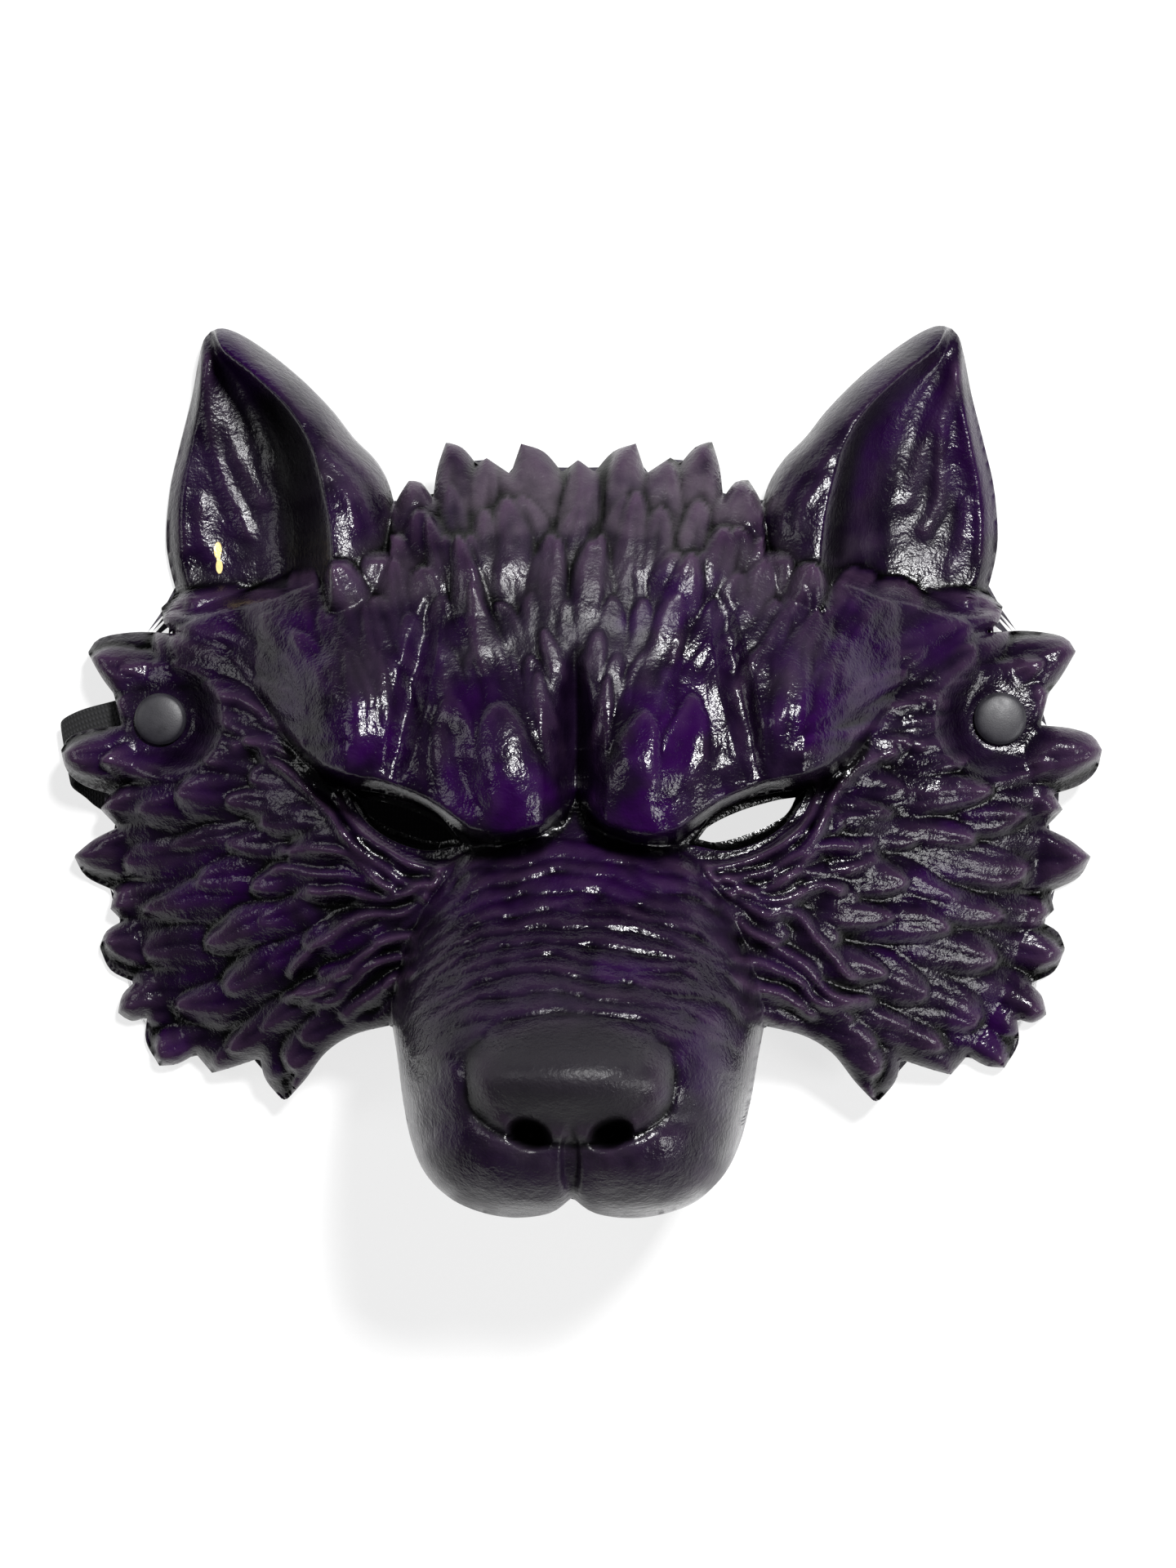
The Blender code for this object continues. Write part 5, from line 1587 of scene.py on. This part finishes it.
def strap_piece(material):
    """The section is a flat superellipse of the strap's width and thickness, and it narrows to a round end."""
    line = strap_line()
    run = np.concatenate([[0.0], np.cumsum(np.linalg.norm(np.diff(line[:, :3], axis=0), axis=1))])
    radius = 0.5 * STRAP_WIDTH
    before_end = -radius * np.cos(np.linspace(0.0, np.pi / 2, 9))[:-1]
    stations = np.concatenate([before_end, np.linspace(0.0, run[-1], 330), run[-1] - before_end[::-1]])
    at = np.clip(stations, 0.0, run[-1])
    past = (stations - at)[:, None]
    half = np.sqrt(np.clip(radius**2 - past[:, 0] ** 2, (0.0004) ** 2, None))
    middle = np.stack([np.interp(at, run, line[:, k]) for k in range(3)], axis=1)
    slope = np.gradient(line[:, :3], run, axis=0)
    direction = np.stack([np.interp(at, run, slope[:, k]) for k in range(3)], axis=1)
    direction /= np.linalg.norm(direction, axis=1)[:, None]
    facing = np.radians(np.interp(at, run, line[:, 3]))
    sideways = np.stack([np.sin(facing), -np.cos(facing), np.zeros_like(facing)], axis=1)
    outward = np.cross(direction, sideways)
    outward /= np.linalg.norm(outward, axis=1)[:, None]
    angle = 2 * np.pi * np.arange(2 * ACROSS_STEPS) / (2 * ACROSS_STEPS)
    wide = np.sign(np.cos(angle)) * np.abs(np.cos(angle)) ** 0.8
    thick = 0.5 * STRAP_THICKNESS * np.sign(np.sin(angle)) * np.abs(np.sin(angle)) ** 0.30
    centre = middle + past * direction
    points = centre[:, None, :] + (half[:, None] * wide)[:, :, None] * sideways[:, None, :]
    points = points + thick[None, :, None] * outward[:, None, :]
    number = np.arange(points.shape[0] * points.shape[1]).reshape(points.shape[:2])
    after = np.roll(number, -1, axis=1)
    faces = np.stack([number[:-1], after[:-1], after[1:], number[1:]], axis=-1).reshape(-1, 4)
    piece = mesh_piece("elastic_strap", points.reshape(-1, 3), faces, material)
    lengthwise = np.repeat(stations[:, None], points.shape[1], axis=1).ravel()
    crosswise = (half[:, None] * wide).ravel()
    layer = piece.data.uv_layers.new(name="knit")
    corner = np.empty(len(piece.data.loops), np.int32)
    piece.data.loops.foreach_get("vertex_index", corner)
    layer.data.foreach_set("uv", np.stack([lengthwise, crosswise], axis=1)[corner].astype(np.float32).ravel())
    print("strap", round(float(run[-1]) * 1000), "mm from snap to snap")
    return piece


elastic = Painter("knitted elastic")
knit = elastic.node("ShaderNodeUVMap", uv_map="knit").outputs["UV"]
ribs = elastic.node("ShaderNodeTexWave", bands_direction="Y", wave_profile="SIN")
ribs.inputs["Scale"].default_value = 250.0
ribs.inputs["Distortion"].default_value = 0.0
elastic.feed(ribs.inputs["Vector"], knit)
picks = elastic.node("ShaderNodeTexWave", bands_direction="X", wave_profile="SIN")
picks.inputs["Scale"].default_value = 330.0
picks.inputs["Distortion"].default_value = 0.6
elastic.feed(picks.inputs["Vector"], knit)
weave = elastic.sum("MULTIPLY", ribs.outputs["Fac"], picks.outputs["Fac"])
elastic.feed(elastic.shader.inputs["Base Color"], elastic.blend(weave, linear("08080a"), linear("19191c")))
elastic.shader.inputs["Roughness"].default_value = 0.85
elastic.feed(elastic.shader.inputs["Normal"], elastic.bump(weave, 0.00020))

strap = strap_piece(elastic.material)
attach(strap, "root")
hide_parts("strap")

# %% [markdown]
# Floor and light
#
# The photograph has a plain white ground and a main light from the upper right, which draws the sparks on the
# lacquer, with a pale room round it. Three area lamps do the same, and the main one is small, so its sparks
# stay fine. The floor also gives off light of its own, which keeps it white without a lamp so strong that it
# would bleach the dark skin.

# %% Stage
floor_mesh = bpy.data.meshes.new("floor")
floor_mesh.from_pydata([(-3, -3, 0), (3, -3, 0), (3, 3, 0), (-3, 3, 0)], [], [(0, 1, 2, 3)])
floor = bpy.data.objects.new("floor", floor_mesh)
bpy.context.scene.collection.objects.link(floor)
paper = Painter("white paper")
paper_colour = paper.blend(paper.noise(900.0), linear("7e7e7e"), linear("848484"))
paper.feed(paper.shader.inputs["Base Color"], paper_colour)
paper.shader.inputs["Roughness"].default_value = 0.9
paper.shader.inputs["Emission Color"].default_value = (1.0, 1.0, 1.0, 1.0)
paper.shader.inputs["Emission Strength"].default_value = 0.74
paper.shader.inputs["Specular IOR Level"].default_value = 0.1
floor_mesh.materials.append(paper.material)

# name, place, aims at, width, height, watts
LAMPS = (
    ("key", (0.28, 0.40, 0.85), (0.0, 0.0, 0.03), 0.15, 0.15, 21.0),
    ("fill", (-0.75, 0.20, 0.60), (0.0, 0.0, 0.03), 0.36, 0.36, 2.4),
    ("low", (0.75, -0.35, 0.45), (0.0, 0.0, 0.03), 0.26, 0.26, 5.0),
)
for name, place, aim, width, height, watts in LAMPS:
    lamp = bpy.data.objects.new(name, bpy.data.lights.new(name, "AREA"))
    lamp.data.shape = "RECTANGLE"
    lamp.data.size = width
    lamp.data.size_y = height
    lamp.data.energy = watts
    lamp.location = place
    lamp.rotation_euler = (Vector(aim) - Vector(place)).to_track_quat("-Z", "Y").to_euler()
    bpy.context.scene.collection.objects.link(lamp)

world = bpy.data.worlds.new("studio")
bpy.context.scene.world = world
world.use_nodes = True
world.node_tree.nodes["Background"].inputs["Color"].default_value = (0.95, 0.97, 1.0, 1.0)
world.node_tree.nodes["Background"].inputs["Strength"].default_value = 0.08
bpy.context.scene.view_settings.view_transform = "Standard"
print(len(LAMPS), "lamps")
